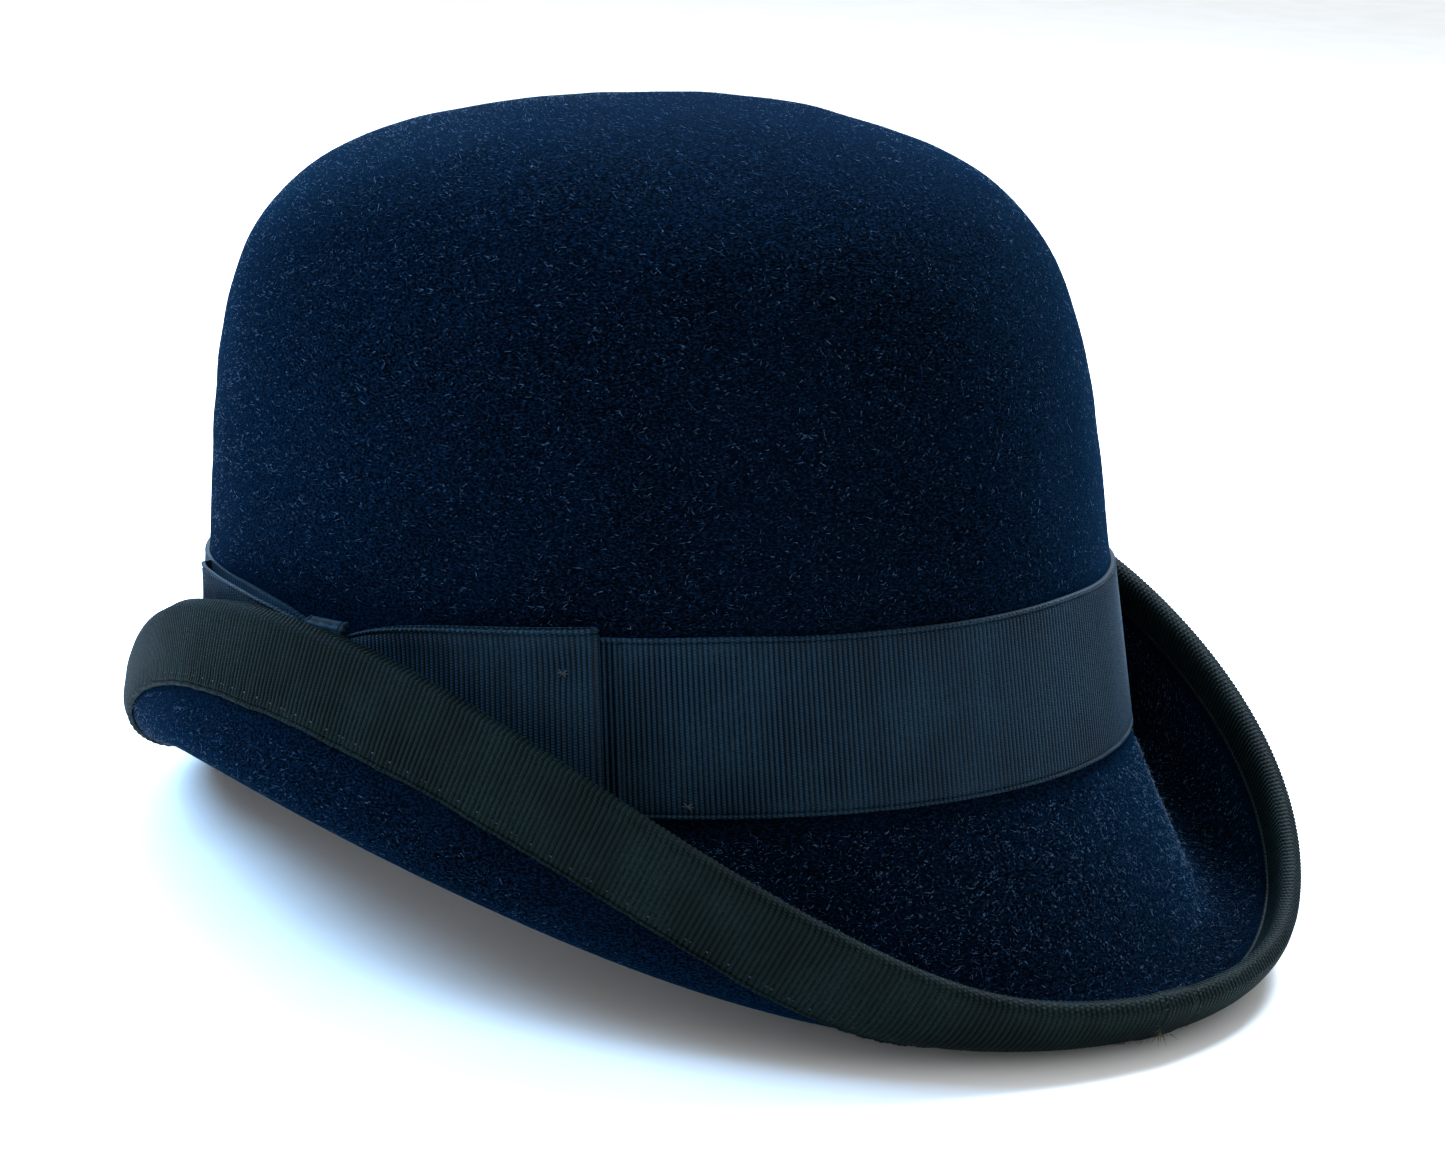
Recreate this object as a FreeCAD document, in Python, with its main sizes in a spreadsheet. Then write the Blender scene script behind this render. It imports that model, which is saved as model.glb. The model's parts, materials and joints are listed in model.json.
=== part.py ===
import FreeCAD, Part
import math
import os
from FreeCAD import Placement, Rotation, Vector

# Bowler hat: blocked felt crown and curled brim, grosgrain band with a flat bow,
# grosgrain edge binding, leather sweatband with its reed, and a satin lining.
# Frame: +X to the wearer's left, -Y to the front, +Z up.  The origin is the middle
# of the rectangle that the hat covers, at the level it stands on.  Every piece is
# built with the crown's base line level at z = 0, where the brim breaks from the
# crown, then all pieces take one Placement that tips the hat until the front and
# rear dips of the brim stand on one level.

os.makedirs("parts", exist_ok=True)
doc = FreeCAD.newDocument("bowler_hat")
sheet = doc.addObject("Spreadsheet::Sheet", "Sizes")

SIZES = [
    # crown, outside of the felt
    ("crown_half_length", 104.5),
    ("crown_half_width", 92.4),
    ("crown_height", 131.5),
    ("crown_taper", 0.13),
    ("crown_lean", -0.04),
    ("side_fullness_long", 8.9),
    ("side_fullness_cross", 6.2),
    ("top_roundness_long", 1.79),
    ("top_roundness_cross", 2.36),
    ("felt_thickness", 2.6),
    # brim section: reach beyond the crown, level of its lowest line, level of the edge
    ("brim_reach", 21.5),
    ("brim_reach_saddle", 8.2),
    ("brim_reach_tilt", 6.8),
    ("brim_reach_square", 3.2),
    ("brim_low", -15.4),
    ("brim_low_saddle", -14.9),
    ("brim_low_tilt", -12.3),
    ("brim_low_third", 2.6),
    ("brim_low_square", 0.6),
    ("edge_level", 4.3),
    ("edge_level_saddle", -32.5),
    ("edge_level_tilt", -11.8),
    ("edge_level_third", 1.0),
    ("edge_level_square", -2.8),
    ("wall_blend", 5.0),
    ("curl_radius", 7.8),
    ("curl_radius_saddle", 2.3),
    ("curl_lean", 101.0),
    ("curl_lean_saddle", -3.0),
    # ribbons
    ("ribbon_thickness", 0.9),
    ("seat_gap", 0.12),
    ("band_width", 34.5),
    ("band_lift", 1.0),
    ("binding_outside", 18.6),
    ("binding_inside", 7.0),
    ("binding_ease", 0.3),
    ("binding_lap_length", 9.0),
    ("binding_lap_angle", 5.0),
    ("stitch_inset", 2.5),
    ("stitch_length", 2.2),
    ("stitch_pitch", 4.4),
    ("thread_thickness", 0.5),
    # bow on the wearer's left side, angles from the rear end of the crown
    ("bow_knot_angle", 91.0),
    ("bow_knot_width", 11.0),
    ("bow_knot_wrap", 1.4),
    ("rear_wing_length", 60.0),
    ("front_wing_length", 50.0),
    ("bow_knot_edge", 1.05),
    ("wing_gap", 0.8),
    ("wing_lift", 1.2),
    ("wing_drop", 2.0),
    ("wing_pinch", 3.0),
    ("wing_loop", 2.6),
    ("wing_loop_at_knot", 1.4),
    ("wing_gather_length", 26.0),
    ("band_lap_reach", 3.0),
    ("tack_thread", 0.3),
    ("tack_length", 2.0),
    ("tack_from_wing_end", 7.0),
    ("tack_below_top", 6.5),
    ("tack_past_wing", 15.0),
    # inside
    ("sweat_width", 40.0),
    ("sweat_thickness", 1.1),
    ("sweat_lift", 2.5),
    ("reed_diameter", 2.4),
    ("tape_width", 9.0),
    ("tape_thickness", 0.5),
    ("lining_thickness", 0.5),
    ("lining_clearance", 1.6),
    ("lining_spring", 0.1),
    ("lining_overlap", 6.0),
    ("lining_side_height", 62.0),
    ("piping_diameter", 2.2),
    ("small_bow_knot", 3.0),
    ("small_bow_loop", 2.7),
    ("small_bow_cord", 1.4),
    ("small_bow_lift", 18.0),
    ("size_tab_width", 14.0),
    ("size_tab_height", 16.0),
    ("size_tab_thickness", 0.4),
    ("size_tab_below_top", 3.0),
    ("size_tab_angle", -24.0),
]
for row, (alias, value) in enumerate(SIZES, 1):
    sheet.set("A%d" % row, alias)
    sheet.set("B%d" % row, str(value))
    sheet.setAlias("B%d" % row, alias)
doc.recompute()


class Sheet:
    """Reads the sheet's cells by alias, so that the sheet stays the only home of a size."""

    def __getattr__(self, alias):
        return float(getattr(sheet, alias))


S = Sheet()

# how finely the surfaces are laid out
RING_POINTS = 48
BRIM_STEPS = 15
SEAM_POINTS = 240
SIDE_SHARES = (0.15, 0.30, 0.45, 0.58)
TOP_SHARES = (0.98, 0.94, 0.87, 0.78, 0.66, 0.50, 0.32, 0.14)
OUTSIDE_SHARES = (1.0, 0.8, 0.6, 0.4, 0.2)
INSIDE_SHARES = (0.5, 1.0)
FOLD_TURNS = [math.radians(a) for a in (90, 50, 0, -50, -90)]
WALK_STEP = 0.25
WALK_PROBE = 0.001


# ---------------------------------------------------------------- geometry of the hat
def wave(angle, mean, saddle, tilt=0.0, third=0.0, square=0.0):
    """A size that varies round the hat; angle 0 is the rear end, pi is the front end."""
    around = saddle * math.cos(2 * angle) + tilt * math.cos(angle)
    return mean + around + third * math.cos(3 * angle) + square * math.cos(4 * angle)


def crown_scale(level, fullness, roundness, inset):
    """Fraction of the base size left at a level of the crown."""
    share = min(max(level / (S.crown_height - inset), 0.0), 1.0)
    full = max(1.0 - share ** fullness, 0.0) ** (1.0 / roundness)
    return full * (1 + S.crown_taper * (1 - share)) / (1 + S.crown_taper)


def crown_point(angle, level, out=0.0):
    """Point of the crown's oval section at a level, moved out (in if negative) by a distance."""
    inset = max(-out, 0.0)
    long_scale = crown_scale(level, S.side_fullness_long, S.top_roundness_long, inset)
    cross_scale = crown_scale(level, S.side_fullness_cross, S.top_roundness_cross, inset)
    length = S.crown_half_length * long_scale + out
    width = S.crown_half_width * cross_scale + out
    shift = S.crown_lean * level
    return Vector(width * math.sin(angle), length * math.cos(angle) + shift, level)


def outward(angle):
    """Unit vector in plan, square to the crown's base line."""
    n = Vector(math.sin(angle) / S.crown_half_width, math.cos(angle) / S.crown_half_length, 0)
    n.normalize()
    return n


class BrimSection:
    """Section of the brim at one angle: a sloping flat, a curl arc, then the wall of the curl."""

    def __init__(self, angle):
        self.angle = angle
        self.radius = wave(angle, S.curl_radius, S.curl_radius_saddle)
        reach = wave(angle, S.brim_reach, S.brim_reach_saddle, S.brim_reach_tilt,
                     square=S.brim_reach_square)
        low = wave(angle, S.brim_low, S.brim_low_saddle, S.brim_low_tilt,
                   S.brim_low_third, S.brim_low_square)
        edge = wave(angle, S.edge_level, S.edge_level_saddle, S.edge_level_tilt,
                    S.edge_level_third, S.edge_level_square)
        self.lean = math.radians(wave(angle, S.curl_lean, S.curl_lean_saddle))
        self.cr = reach - self.radius
        self.cz = low + self.radius
        away = math.hypot(self.cr, self.cz)
        self.slope = math.atan2(self.cz, self.cr) - math.asin(min(self.radius / away, 1.0))
        self.flat = math.sqrt(max(away ** 2 - self.radius ** 2, 0.0))
        self.arc = self.radius * (self.lean - self.slope)
        rise = (edge - self.cz + self.radius * math.cos(self.lean)) / math.sin(self.lean)
        self.wall = (rise + math.hypot(rise, S.wall_blend)) / 2
        self.length = self.flat + self.arc + self.wall

    def place(self, run, off):
        """Run along the top of the brim from the break; off is the depth below that surface."""
        if run <= self.flat:
            turn = self.slope
            r, z = run * math.cos(turn), run * math.sin(turn)
        else:
            past = min(run - self.flat, self.arc)
            turn = self.slope + past / self.radius
            r = self.cr + self.radius * math.sin(turn)
            z = self.cz - self.radius * math.cos(turn)
            beyond = run - self.flat - past
            r += beyond * math.cos(turn)
            z += beyond * math.sin(turn)
        r += off * math.sin(turn)
        z -= off * math.cos(turn)
        return crown_point(self.angle, 0.0) + outward(self.angle) * r + Vector(0, 0, z)

    def back(self, distance, off):
        """Same, with the distance measured back from the brim's edge."""
        return self.place(self.length - distance, off)

    def outer_run(self, distance):
        """Distance along the top that matches a distance along the underside, from the edge."""
        depth = S.felt_thickness
        if distance <= self.wall:
            return distance
        return self.wall + (distance - self.wall) * self.radius / (self.radius + depth)

    def fold(self, turn, radius):
        """Point of the round fold over the edge; turn pi/2 is the underside, -pi/2 the top side."""
        middle = self.place(self.length, S.felt_thickness / 2)
        along = outward(self.angle) * math.cos(self.lean) + Vector(0, 0, math.sin(self.lean))
        under = outward(self.angle) * math.sin(self.lean) - Vector(0, 0, math.cos(self.lean))
        return middle + along * (radius * math.cos(turn)) + under * (radius * math.sin(turn))


ANGLES = [2 * math.pi * i / RING_POINTS for i in range(RING_POINTS)]
BRIM = [BrimSection(a) for a in ANGLES]


def ring(points):
    """Closed smooth wire through the points."""
    curve = Part.BSplineCurve()
    curve.interpolate(Points=points, PeriodicFlag=True)
    return Part.Wire([curve.toShape()])


def brim_ring(point_of):
    """Ring of the brim through the point that each section gives."""
    return ring([point_of(section) for section in BRIM])


def crown_ring(level, out):
    return ring([crown_point(a, level, out) for a in ANGLES])


def skin(rings, smooth=True):
    """Faces through the rings: one smooth loft, or straight from one ring to the other."""
    if smooth:
        return Part.makeLoft(rings, False, False, False).Faces
    return [Part.makeRuledSurface(rings[0].Edges[0], rings[1].Edges[0])]


def solid_of(faces):
    """Solid inside faces that meet edge to edge."""
    sewn = Part.Compound(faces)
    sewn.sewShape(0.005)
    shells = sewn.Shells
    if len(shells) != 1:
        raise ValueError("faces do not close into one shell: %d" % len(shells))
    body = Part.Solid(shells[0])
    if body.Volume < 0:
        body.reverse()
    return body


def ring_wall(groups):
    """Solid bounded by skins; each group of rings starts with the last ring of the one before."""
    faces = []
    for rings, smooth in groups:
        faces += skin(rings, smooth)
    return solid_of(faces)


def swatch(sections):
    """Solid lofted through the closed polygons of its sections."""
    wires = [Part.makePolygon(points + [points[0]]) for points in sections]
    body = Part.makeLoft(wires, True, False, False)
    if body.Volume < 0:
        body.reverse()
    return body


# ---------------------------------------------------------------- places round the crown
def angle_along(start, distance, level):
    """Angle reached by going a distance round the crown; positive goes from rear to front."""
    step = math.copysign(WALK_STEP, distance)
    angle = start
    gone = 0.0
    while abs(gone) < abs(distance):
        here = crown_point(angle, level)
        ahead = crown_point(angle + WALK_PROBE, level)
        rate = (ahead - here).Length / WALK_PROBE
        angle += step / rate
        gone += step
    return angle


def spread(first, last, count):
    return [first + (last - first) * i / (count - 1) for i in range(count)]


def crown_strip(angles, inner, outer, low, high):
    """Strip against the crown; every size may be a number or a function of the share along it."""
    def at(size, share):
        return size(share) if callable(size) else size

    sections = []
    for i, angle in enumerate(angles):
        share = i / (len(angles) - 1)
        near, far = at(inner, share), at(outer, share)
        bottom, top = at(low, share), at(high, share)
        sections.append([
            crown_point(angle, bottom, near),
            crown_point(angle, bottom, far),
            crown_point(angle, top, far),
            crown_point(angle, top, near),
        ])
    return swatch(sections)


def crown_levels(inset):
    """Levels of the crown's rings: even up the sides, then closer as the top rounds over."""
    height = S.crown_height - inset
    sides = [height * share for share in SIDE_SHARES]
    rounding = [
        height * (1 - full ** S.top_roundness_long) ** (1 / S.side_fullness_long)
        for full in TOP_SHARES]
    return sides + rounding


# ---------------------------------------------------------------- stack of layers
TAPE = S.ribbon_thickness
GAP = S.seat_gap
FELT = S.felt_thickness
BIND_IN = S.binding_ease
BIND_OUT = BIND_IN + TAPE
JOIN_IN = BIND_OUT + S.binding_ease
JOIN_OUT = JOIN_IN + TAPE
BAND_LOW = S.band_lift
BAND_TOP = S.band_lift + S.band_width
BAND_IN = GAP
BAND_OUT = BAND_IN + TAPE
LAP_IN = BAND_OUT + GAP
LAP_OUT = LAP_IN + TAPE
WING_IN = LAP_OUT + GAP
WING_OUT = WING_IN + S.wing_loop
KNOT_IN = WING_OUT + GAP
KNOT_SWELL = S.bow_knot_wrap - S.bow_knot_edge
KNOT_ANGLE = math.radians(S.bow_knot_angle)
REAR_END = angle_along(KNOT_ANGLE, -S.rear_wing_length, BAND_TOP)
FRONT_END = angle_along(KNOT_ANGLE, S.front_wing_length, BAND_TOP)

# the brim's edge bends round the rear about a point this far inside it
REAR_BEND = S.crown_half_width ** 2 / S.crown_half_length + S.brim_reach
JOIN_ANGLE = math.radians(S.binding_lap_angle)
JOIN_HALF = S.binding_lap_length / 2 / REAR_BEND

SWEAT_LOW = S.sweat_lift
SWEAT_TOP = S.sweat_lift + S.sweat_width
REED_TAPE_IN = -(FELT + GAP)
REED_TAPE_OUT = REED_TAPE_IN - S.tape_thickness
LEATHER_IN = REED_TAPE_OUT - GAP
LEATHER_OUT = LEATHER_IN - S.sweat_thickness
LINING_LOOSE = -(FELT + S.lining_clearance)
LINING_LOW = SWEAT_TOP - S.lining_overlap
LINING_SEAM = LINING_LOW + S.lining_side_height
TUCKED = -(FELT + GAP)


# ---------------------------------------------------------------- shapes
def felt_shape():
    """Crown and brim blocked from one felt, an even thickness all over."""
    top_levels = crown_levels(0.0)
    under_levels = crown_levels(FELT)
    outside = [crown_ring(0.0, 0.0)] + [crown_ring(level, 0.0) for level in top_levels]
    inside = [crown_ring(level, -FELT) for level in under_levels]
    steps = spread(0.0, 1.0, BRIM_STEPS)
    brim_top = [outside[0]] + [
        brim_ring(lambda s, k=k: s.place(s.length * k, 0.0)) for k in steps[1:]]
    brim_under = [brim_ring(lambda s, k=k: s.place(s.length * k, FELT)) for k in reversed(steps)]
    edge_middle = brim_ring(lambda s: s.fold(0.0, FELT / 2))
    faces = skin(outside)
    faces += skin(brim_top)
    faces += skin([brim_top[-1], edge_middle, brim_under[0]])
    faces += skin(brim_under)
    faces += skin([brim_under[-1]] + inside)
    faces.append(Part.Face(outside[-1]))
    faces.append(Part.Face(inside[-1]))
    return solid_of(faces)


def crown_sleeve(levels, inner, outer):
    """Sleeve against the crown's inside or outside between two offsets."""
    near = [crown_ring(level, inner(level)) for level in levels]
    far = [crown_ring(level, outer(level)) for level in levels]
    return ring_wall([
        (near, True),
        ([near[-1], far[-1]], False),
        (list(reversed(far)), True),
        ([far[0], near[0]], False),
    ])


def even(value):
    return lambda level: value


def binding_path(section, lift):
    """Points from the outside selvage, over the edge, to the inside selvage, at a lift off the felt."""
    outside = [S.binding_outside * k for k in OUTSIDE_SHARES]
    inside = [S.binding_inside * k for k in INSIDE_SHARES]
    points = [section.back(section.outer_run(d), FELT + lift) for d in outside]
    points += [section.fold(turn, FELT / 2 + lift) for turn in FOLD_TURNS]
    points += [section.back(d, -lift) for d in inside]
    return points


def binding_shape():
    """Ribbon folded over the brim's edge, deeper on the outside of the curl."""
    outer_paths = [binding_path(s, BIND_OUT) for s in BRIM]
    inner_paths = [binding_path(s, BIND_IN) for s in BRIM]
    outer = [ring([path[k] for path in outer_paths]) for k in range(len(outer_paths[0]))]
    inner = [ring([path[k] for path in inner_paths]) for k in range(len(inner_paths[0]))]
    return ring_wall([
        (outer, True),
        ([outer[-1], inner[-1]], False),
        (list(reversed(inner)), True),
        ([inner[0], outer[0]], False),
    ])


def join_shape():
    """Lapped end of the binding, near the middle of the rear."""
    sections = []
    for angle in spread(JOIN_ANGLE - JOIN_HALF, JOIN_ANGLE + JOIN_HALF, 5):
        s = BrimSection(angle)
        outer = binding_path(s, JOIN_OUT)
        inner = binding_path(s, JOIN_IN)
        sections.append(outer + list(reversed(inner)))
    return swatch(sections)


def stitches(path, pitch, length, thread):
    """Short straight threads laid end to end along a closed path of points."""
    solids = []
    carry = 0.0
    for start, end in zip(path, path[1:] + path[:1]):
        run = end - start
        span = run.Length
        run.normalize()
        while carry < span:
            middle = start + run * carry
            solids.append(Part.makeCylinder(thread / 2, length, middle - run * (length / 2), run))
            carry += pitch
        carry -= span
    return Part.Compound(solids)


def binding_stitch_shape():
    """A row by each selvage, left out where the lapped end lies over it."""
    fine = [BrimSection(2 * math.pi * i / (4 * RING_POINTS)) for i in range(4 * RING_POINTS)]
    lift = BIND_OUT + GAP + S.thread_thickness / 2
    outside = S.binding_outside - S.stitch_inset
    inside = S.binding_inside - S.stitch_inset
    under = [s.back(s.outer_run(outside), FELT + lift) for s in fine]
    above = [s.back(inside, -lift) for s in fine]
    rows = [stitches(p, S.stitch_pitch, S.stitch_length, S.thread_thickness) for p in (under, above)]
    lap = BrimSection(JOIN_ANGLE).place(BrimSection(JOIN_ANGLE).length, 0.0)
    clear = S.binding_lap_length / 2 + S.stitch_length
    threads = [thread for row in rows for thread in row.Solids]
    return Part.Compound([
        t for t in threads
        if t.CenterOfMass.y < S.crown_half_length or abs(t.CenterOfMass.x - lap.x) > clear])


def sweat_stitch_shape():
    """The row that holds the leather, the tape and the felt together."""
    level = SWEAT_LOW + S.stitch_inset
    off = LEATHER_OUT - GAP - S.thread_thickness / 2
    path = [crown_point(2 * math.pi * i / SEAM_POINTS, level, off) for i in range(SEAM_POINTS)]
    return stitches(path, S.stitch_pitch, S.stitch_length, S.thread_thickness)


def cord_ring(level, off, diameter):
    """Round cord laid round the inside of the crown, its middle at a level and an offset."""
    radius = diameter / 2
    turns = [math.radians(a) for a in range(0, 361, 45)]
    rings = [crown_ring(level + radius * math.sin(t), off + radius * math.cos(t)) for t in turns[:-1]]
    rings.append(rings[0])
    return ring_wall([(rings[:5], True), (rings[4:], True)])


def wing_shape(side, length):
    """Flat wing of doubled ribbon, square at its end and gathered at the knot."""
    start = angle_along(KNOT_ANGLE, side * S.wing_gap / 2, BAND_TOP)
    end = angle_along(KNOT_ANGLE, side * length, BAND_TOP)

    def gathered(share):
        return 1 - math.sin(min(share * length / S.wing_gather_length, 1.0) * math.pi / 2)

    return crown_strip(
        spread(start, end, 9),
        WING_IN,
        lambda k: WING_OUT - (S.wing_loop - S.wing_loop_at_knot) * gathered(k),
        lambda k: BAND_LOW + S.wing_lift + S.wing_pinch * gathered(k),
        lambda k: BAND_TOP - S.wing_drop * (1 - k) - S.wing_pinch * gathered(k) / 2,
    )


def knot_shape():
    """Ribbon wrapped round the middle of the bow, a little fuller along its own middle."""
    half = S.bow_knot_width / 2
    first = angle_along(KNOT_ANGLE, -half, BAND_TOP)
    last = angle_along(KNOT_ANGLE, half, BAND_TOP)
    return crown_strip(
        spread(first, last, 7),
        KNOT_IN,
        lambda k: KNOT_IN + S.bow_knot_edge + KNOT_SWELL * math.sin(math.pi * k),
        BAND_LOW,
        BAND_TOP,
    )


def lap_shape():
    """Folded end of the band that lies under the bow and shows just past the rear wing."""
    first = angle_along(REAR_END, -S.band_lap_reach, BAND_TOP)
    return crown_strip(spread(first, FRONT_END, 13), LAP_IN, LAP_OUT, BAND_LOW, BAND_TOP)


def lining_side_shape():
    """Side of the lining: its hem lies between the felt and the leather, then it springs clear."""
    def off(level):
        return max(LINING_LOOSE, TUCKED - (level - LINING_LOW) * S.lining_spring)

    levels = spread(LINING_LOW, LINING_SEAM, 7)
    return crown_sleeve(levels, off, lambda level: off(level) - S.lining_thickness)


def lining_tip_shape():
    """Top of the lining, following the crown's top."""
    base = LINING_SEAM + GAP
    inset = -LINING_LOOSE
    deep = inset + S.lining_thickness
    upper = [base] + [level for level in crown_levels(inset) if level > base + S.piping_diameter]
    lower = [base] + [level for level in crown_levels(deep) if level > base + S.piping_diameter]
    above = [crown_ring(level, -inset) for level in upper]
    below = [crown_ring(level, -deep) for level in lower]
    faces = skin(above) + skin(below) + skin([above[0], below[0]], False)
    faces.append(Part.Face(above[-1]))
    faces.append(Part.Face(below[-1]))
    return solid_of(faces)


def piping_shape():
    """Corded seam that the side and the tip of the lining hang from."""
    off = LINING_LOOSE - S.lining_thickness - GAP - S.piping_diameter / 2
    return cord_ring(LINING_SEAM, off, S.piping_diameter)


def reed_shape():
    """Round reed that stiffens the lower edge of the leather."""
    level = SWEAT_LOW - GAP - S.reed_diameter / 2
    off = -(FELT + GAP + S.reed_diameter / 2)
    return cord_ring(level, off, S.reed_diameter)


SHAPES = {
    "felt_body": felt_shape,
    "hat_band": lambda: crown_sleeve(spread(BAND_LOW, BAND_TOP, 4), even(BAND_IN), even(BAND_OUT)),
    "band_lap": lap_shape,
    "bow_rear_wing": lambda: wing_shape(-1, S.rear_wing_length),
    "bow_front_wing": lambda: wing_shape(1, S.front_wing_length),
    "bow_knot": knot_shape,
    "brim_binding": binding_shape,
    "brim_binding_stitching": binding_stitch_shape,
    "binding_join": join_shape,
    "sweatband": lambda: crown_sleeve(
        spread(SWEAT_LOW, SWEAT_TOP, 4), even(LEATHER_IN), even(LEATHER_OUT)),
    "sweatband_reed": reed_shape,
    "reed_tape": lambda: crown_sleeve(
        spread(SWEAT_LOW, SWEAT_LOW + S.tape_width, 3), even(REED_TAPE_IN), even(REED_TAPE_OUT)),
    "sweatband_stitching": sweat_stitch_shape,
    "lining_side": lining_side_shape,
    "lining_tip": lining_tip_shape,
    "lining_piping": piping_shape,
}


# ---------------------------------------------------------------- how the hat stands
MOST_TILT = 0.3
HALVINGS = 40


def rest_tilt():
    """Tip about X, in radians, that brings the rear and front dips to one level."""
    outline = [binding_path(s, BIND_OUT) for s in BRIM]
    points = [p for path in outline for p in path]
    points += [s.place(s.flat + s.arc * k, FELT) for s in BRIM for k in (0.0, 0.25, 0.5, 0.75)]

    def lowest(angle, rear):
        return min(p.y * math.sin(angle) + p.z * math.cos(angle) for p in points if (p.y > 0) == rear)

    low, high = -MOST_TILT, MOST_TILT
    for _ in range(HALVINGS):
        middle = (low + high) / 2
        if lowest(middle, True) > lowest(middle, False):
            high = middle
        else:
            low = middle
    return (low + high) / 2


TILT = Rotation(Vector(1, 0, 0), math.degrees(rest_tilt()))

pieces = {}
for name, build in SHAPES.items():
    piece = doc.addObject("Part::Feature", name)
    piece.Label = name
    piece.Shape = build()
    pieces[name] = piece

def primitive(kind, name, **sizes):
    """Part primitive whose sizes are bound to the sheet."""
    item = doc.addObject(kind, name)
    for size, expression in sizes.items():
        item.setExpression(size, expression)
    return item


def cord_group(name, members):
    """Piece made of several primitives, each already placed from the group's own origin."""
    group = doc.addObject("Part::Compound", name)
    group.Label = name
    group.Links = members
    pieces[name] = group
    return group


def seat_on_crown(angle, level, off):
    """Placement on the crown: X outward, Y along the band, Z up the wall."""
    up = crown_point(angle, level + 1, off) - crown_point(angle, level, off)
    up.normalize()
    along = up.cross(outward(angle))
    along.normalize()
    out = along.cross(up)
    axes = FreeCAD.Matrix(out.x, along.x, up.x, 0, out.y, along.y, up.y, 0,
                          out.z, along.z, up.z, 0, 0, 0, 0, 1)
    seat = Placement(axes)
    seat.Base = crown_point(angle, level, off)
    return seat


def tack(name, seat):
    """Three threads of one tack, each laid across the one below it."""
    threads = []
    for layer, lean in enumerate(TACK_LEANS):
        thread = primitive("Part::Cylinder", "%s_%d" % (name, layer),
                           Radius="Sizes.tack_thread / 2", Height="Sizes.tack_length")
        across = Placement(Vector((layer + 0.5) * S.tack_thread, 0, 0), Rotation(Vector(1, 0, 0), lean))
        centred = Placement(Vector(0, 0, -S.tack_length / 2), Rotation())
        thread.Placement = seat.multiply(across).multiply(centred)
        threads.append(thread)
    return threads


TACK_LEANS = (40, 90, 140)
WING_TACK = seat_on_crown(angle_along(REAR_END, S.tack_from_wing_end, BAND_TOP),
                          BAND_TOP - S.tack_below_top, WING_OUT + GAP)
BAND_TACK = seat_on_crown(angle_along(REAR_END, -S.tack_past_wing, BAND_TOP),
                          BAND_LOW + S.stitch_inset, BAND_OUT + GAP)
cord_group("band_tacks", tack("wing_tack", WING_TACK) + tack("band_tack", BAND_TACK))

# little ribbon bow over the sweatband's seam at the rear: a knot between two loops
knot = primitive("Part::Sphere", "small_bow_knot", Radius="Sizes.small_bow_knot / 2")
loops = []
for side, name in ((-1, "small_bow_loop_right"), (1, "small_bow_loop_left")):
    loop = primitive("Part::Torus", name,
                     Radius1="Sizes.small_bow_loop", Radius2="Sizes.small_bow_cord / 2")
    reach = (S.small_bow_knot + S.small_bow_cord) / 2 + S.small_bow_loop + GAP
    loop.Placement = Placement(Vector(side * reach, 0, 0), Rotation(Vector(1, 0, 0), 90))
    loops.append(loop)
small_bow = cord_group("sweatband_bow", [knot] + loops)

tab = primitive("Part::Box", "size_tab", Length="Sizes.size_tab_thickness",
                Width="Sizes.size_tab_width", Height="Sizes.size_tab_height")
tab.Label = "size_tab"
pieces["size_tab"] = tab
doc.recompute()

laid = Part.Compound([pieces[name].Shape for name in ("felt_body", "brim_binding", "binding_join")])
laid.Placement = Placement(Vector(0, 0, 0), TILT)
box = laid.optimalBoundingBox(False)
STAND = Placement(Vector(-(box.XMin + box.XMax) / 2, -(box.YMin + box.YMax) / 2, -box.ZMin), TILT)
for piece in pieces.values():
    piece.Placement = STAND

bow_depth = LEATHER_OUT - GAP - S.small_bow_knot / 2
small_bow.Placement = STAND.multiply(
    Placement(crown_point(0.0, SWEAT_LOW + S.small_bow_lift, bow_depth), Rotation()))

TAB_LOW = SWEAT_TOP - S.size_tab_below_top - S.size_tab_height
# a flat card stands off the curved leather by this much at its middle
TAB_SAG = S.size_tab_width ** 2 / 8 * S.crown_half_length / S.crown_half_width ** 2
TAB_DEPTH = LEATHER_OUT - GAP - TAB_SAG - S.size_tab_thickness
on_leather = seat_on_crown(math.radians(S.size_tab_angle), TAB_LOW, TAB_DEPTH)
centred = Placement(Vector(0, -S.size_tab_width / 2, 0), Rotation())
tab.Placement = STAND.multiply(on_leather).multiply(centred)
doc.recompute()

# ---------------------------------------------------------------- checks and files
for item in doc.Objects:
    if "Invalid" in item.State or "Error" in item.State:
        raise ValueError("failed object: " + item.Name)
for name, piece in pieces.items():
    if piece.Shape.isNull() or not piece.Shape.isValid():
        raise ValueError("bad shape: " + name)
    if min(solid.Volume for solid in piece.Shape.Solids) <= 0:
        raise ValueError("empty solid: " + name)
for name, piece in pieces.items():
    piece.Shape.exportStep("parts/" + name + ".step")
print("tilt", round(math.degrees(rest_tilt()), 4), "stand", [round(v, 4) for v in STAND.Base])
print("pieces", len(pieces), "solids", sum(len(p.Shape.Solids) for p in pieces.values()))
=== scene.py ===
import json
import math

import bmesh
import bpy
import numpy as np
from mathutils import Matrix, Vector


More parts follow.
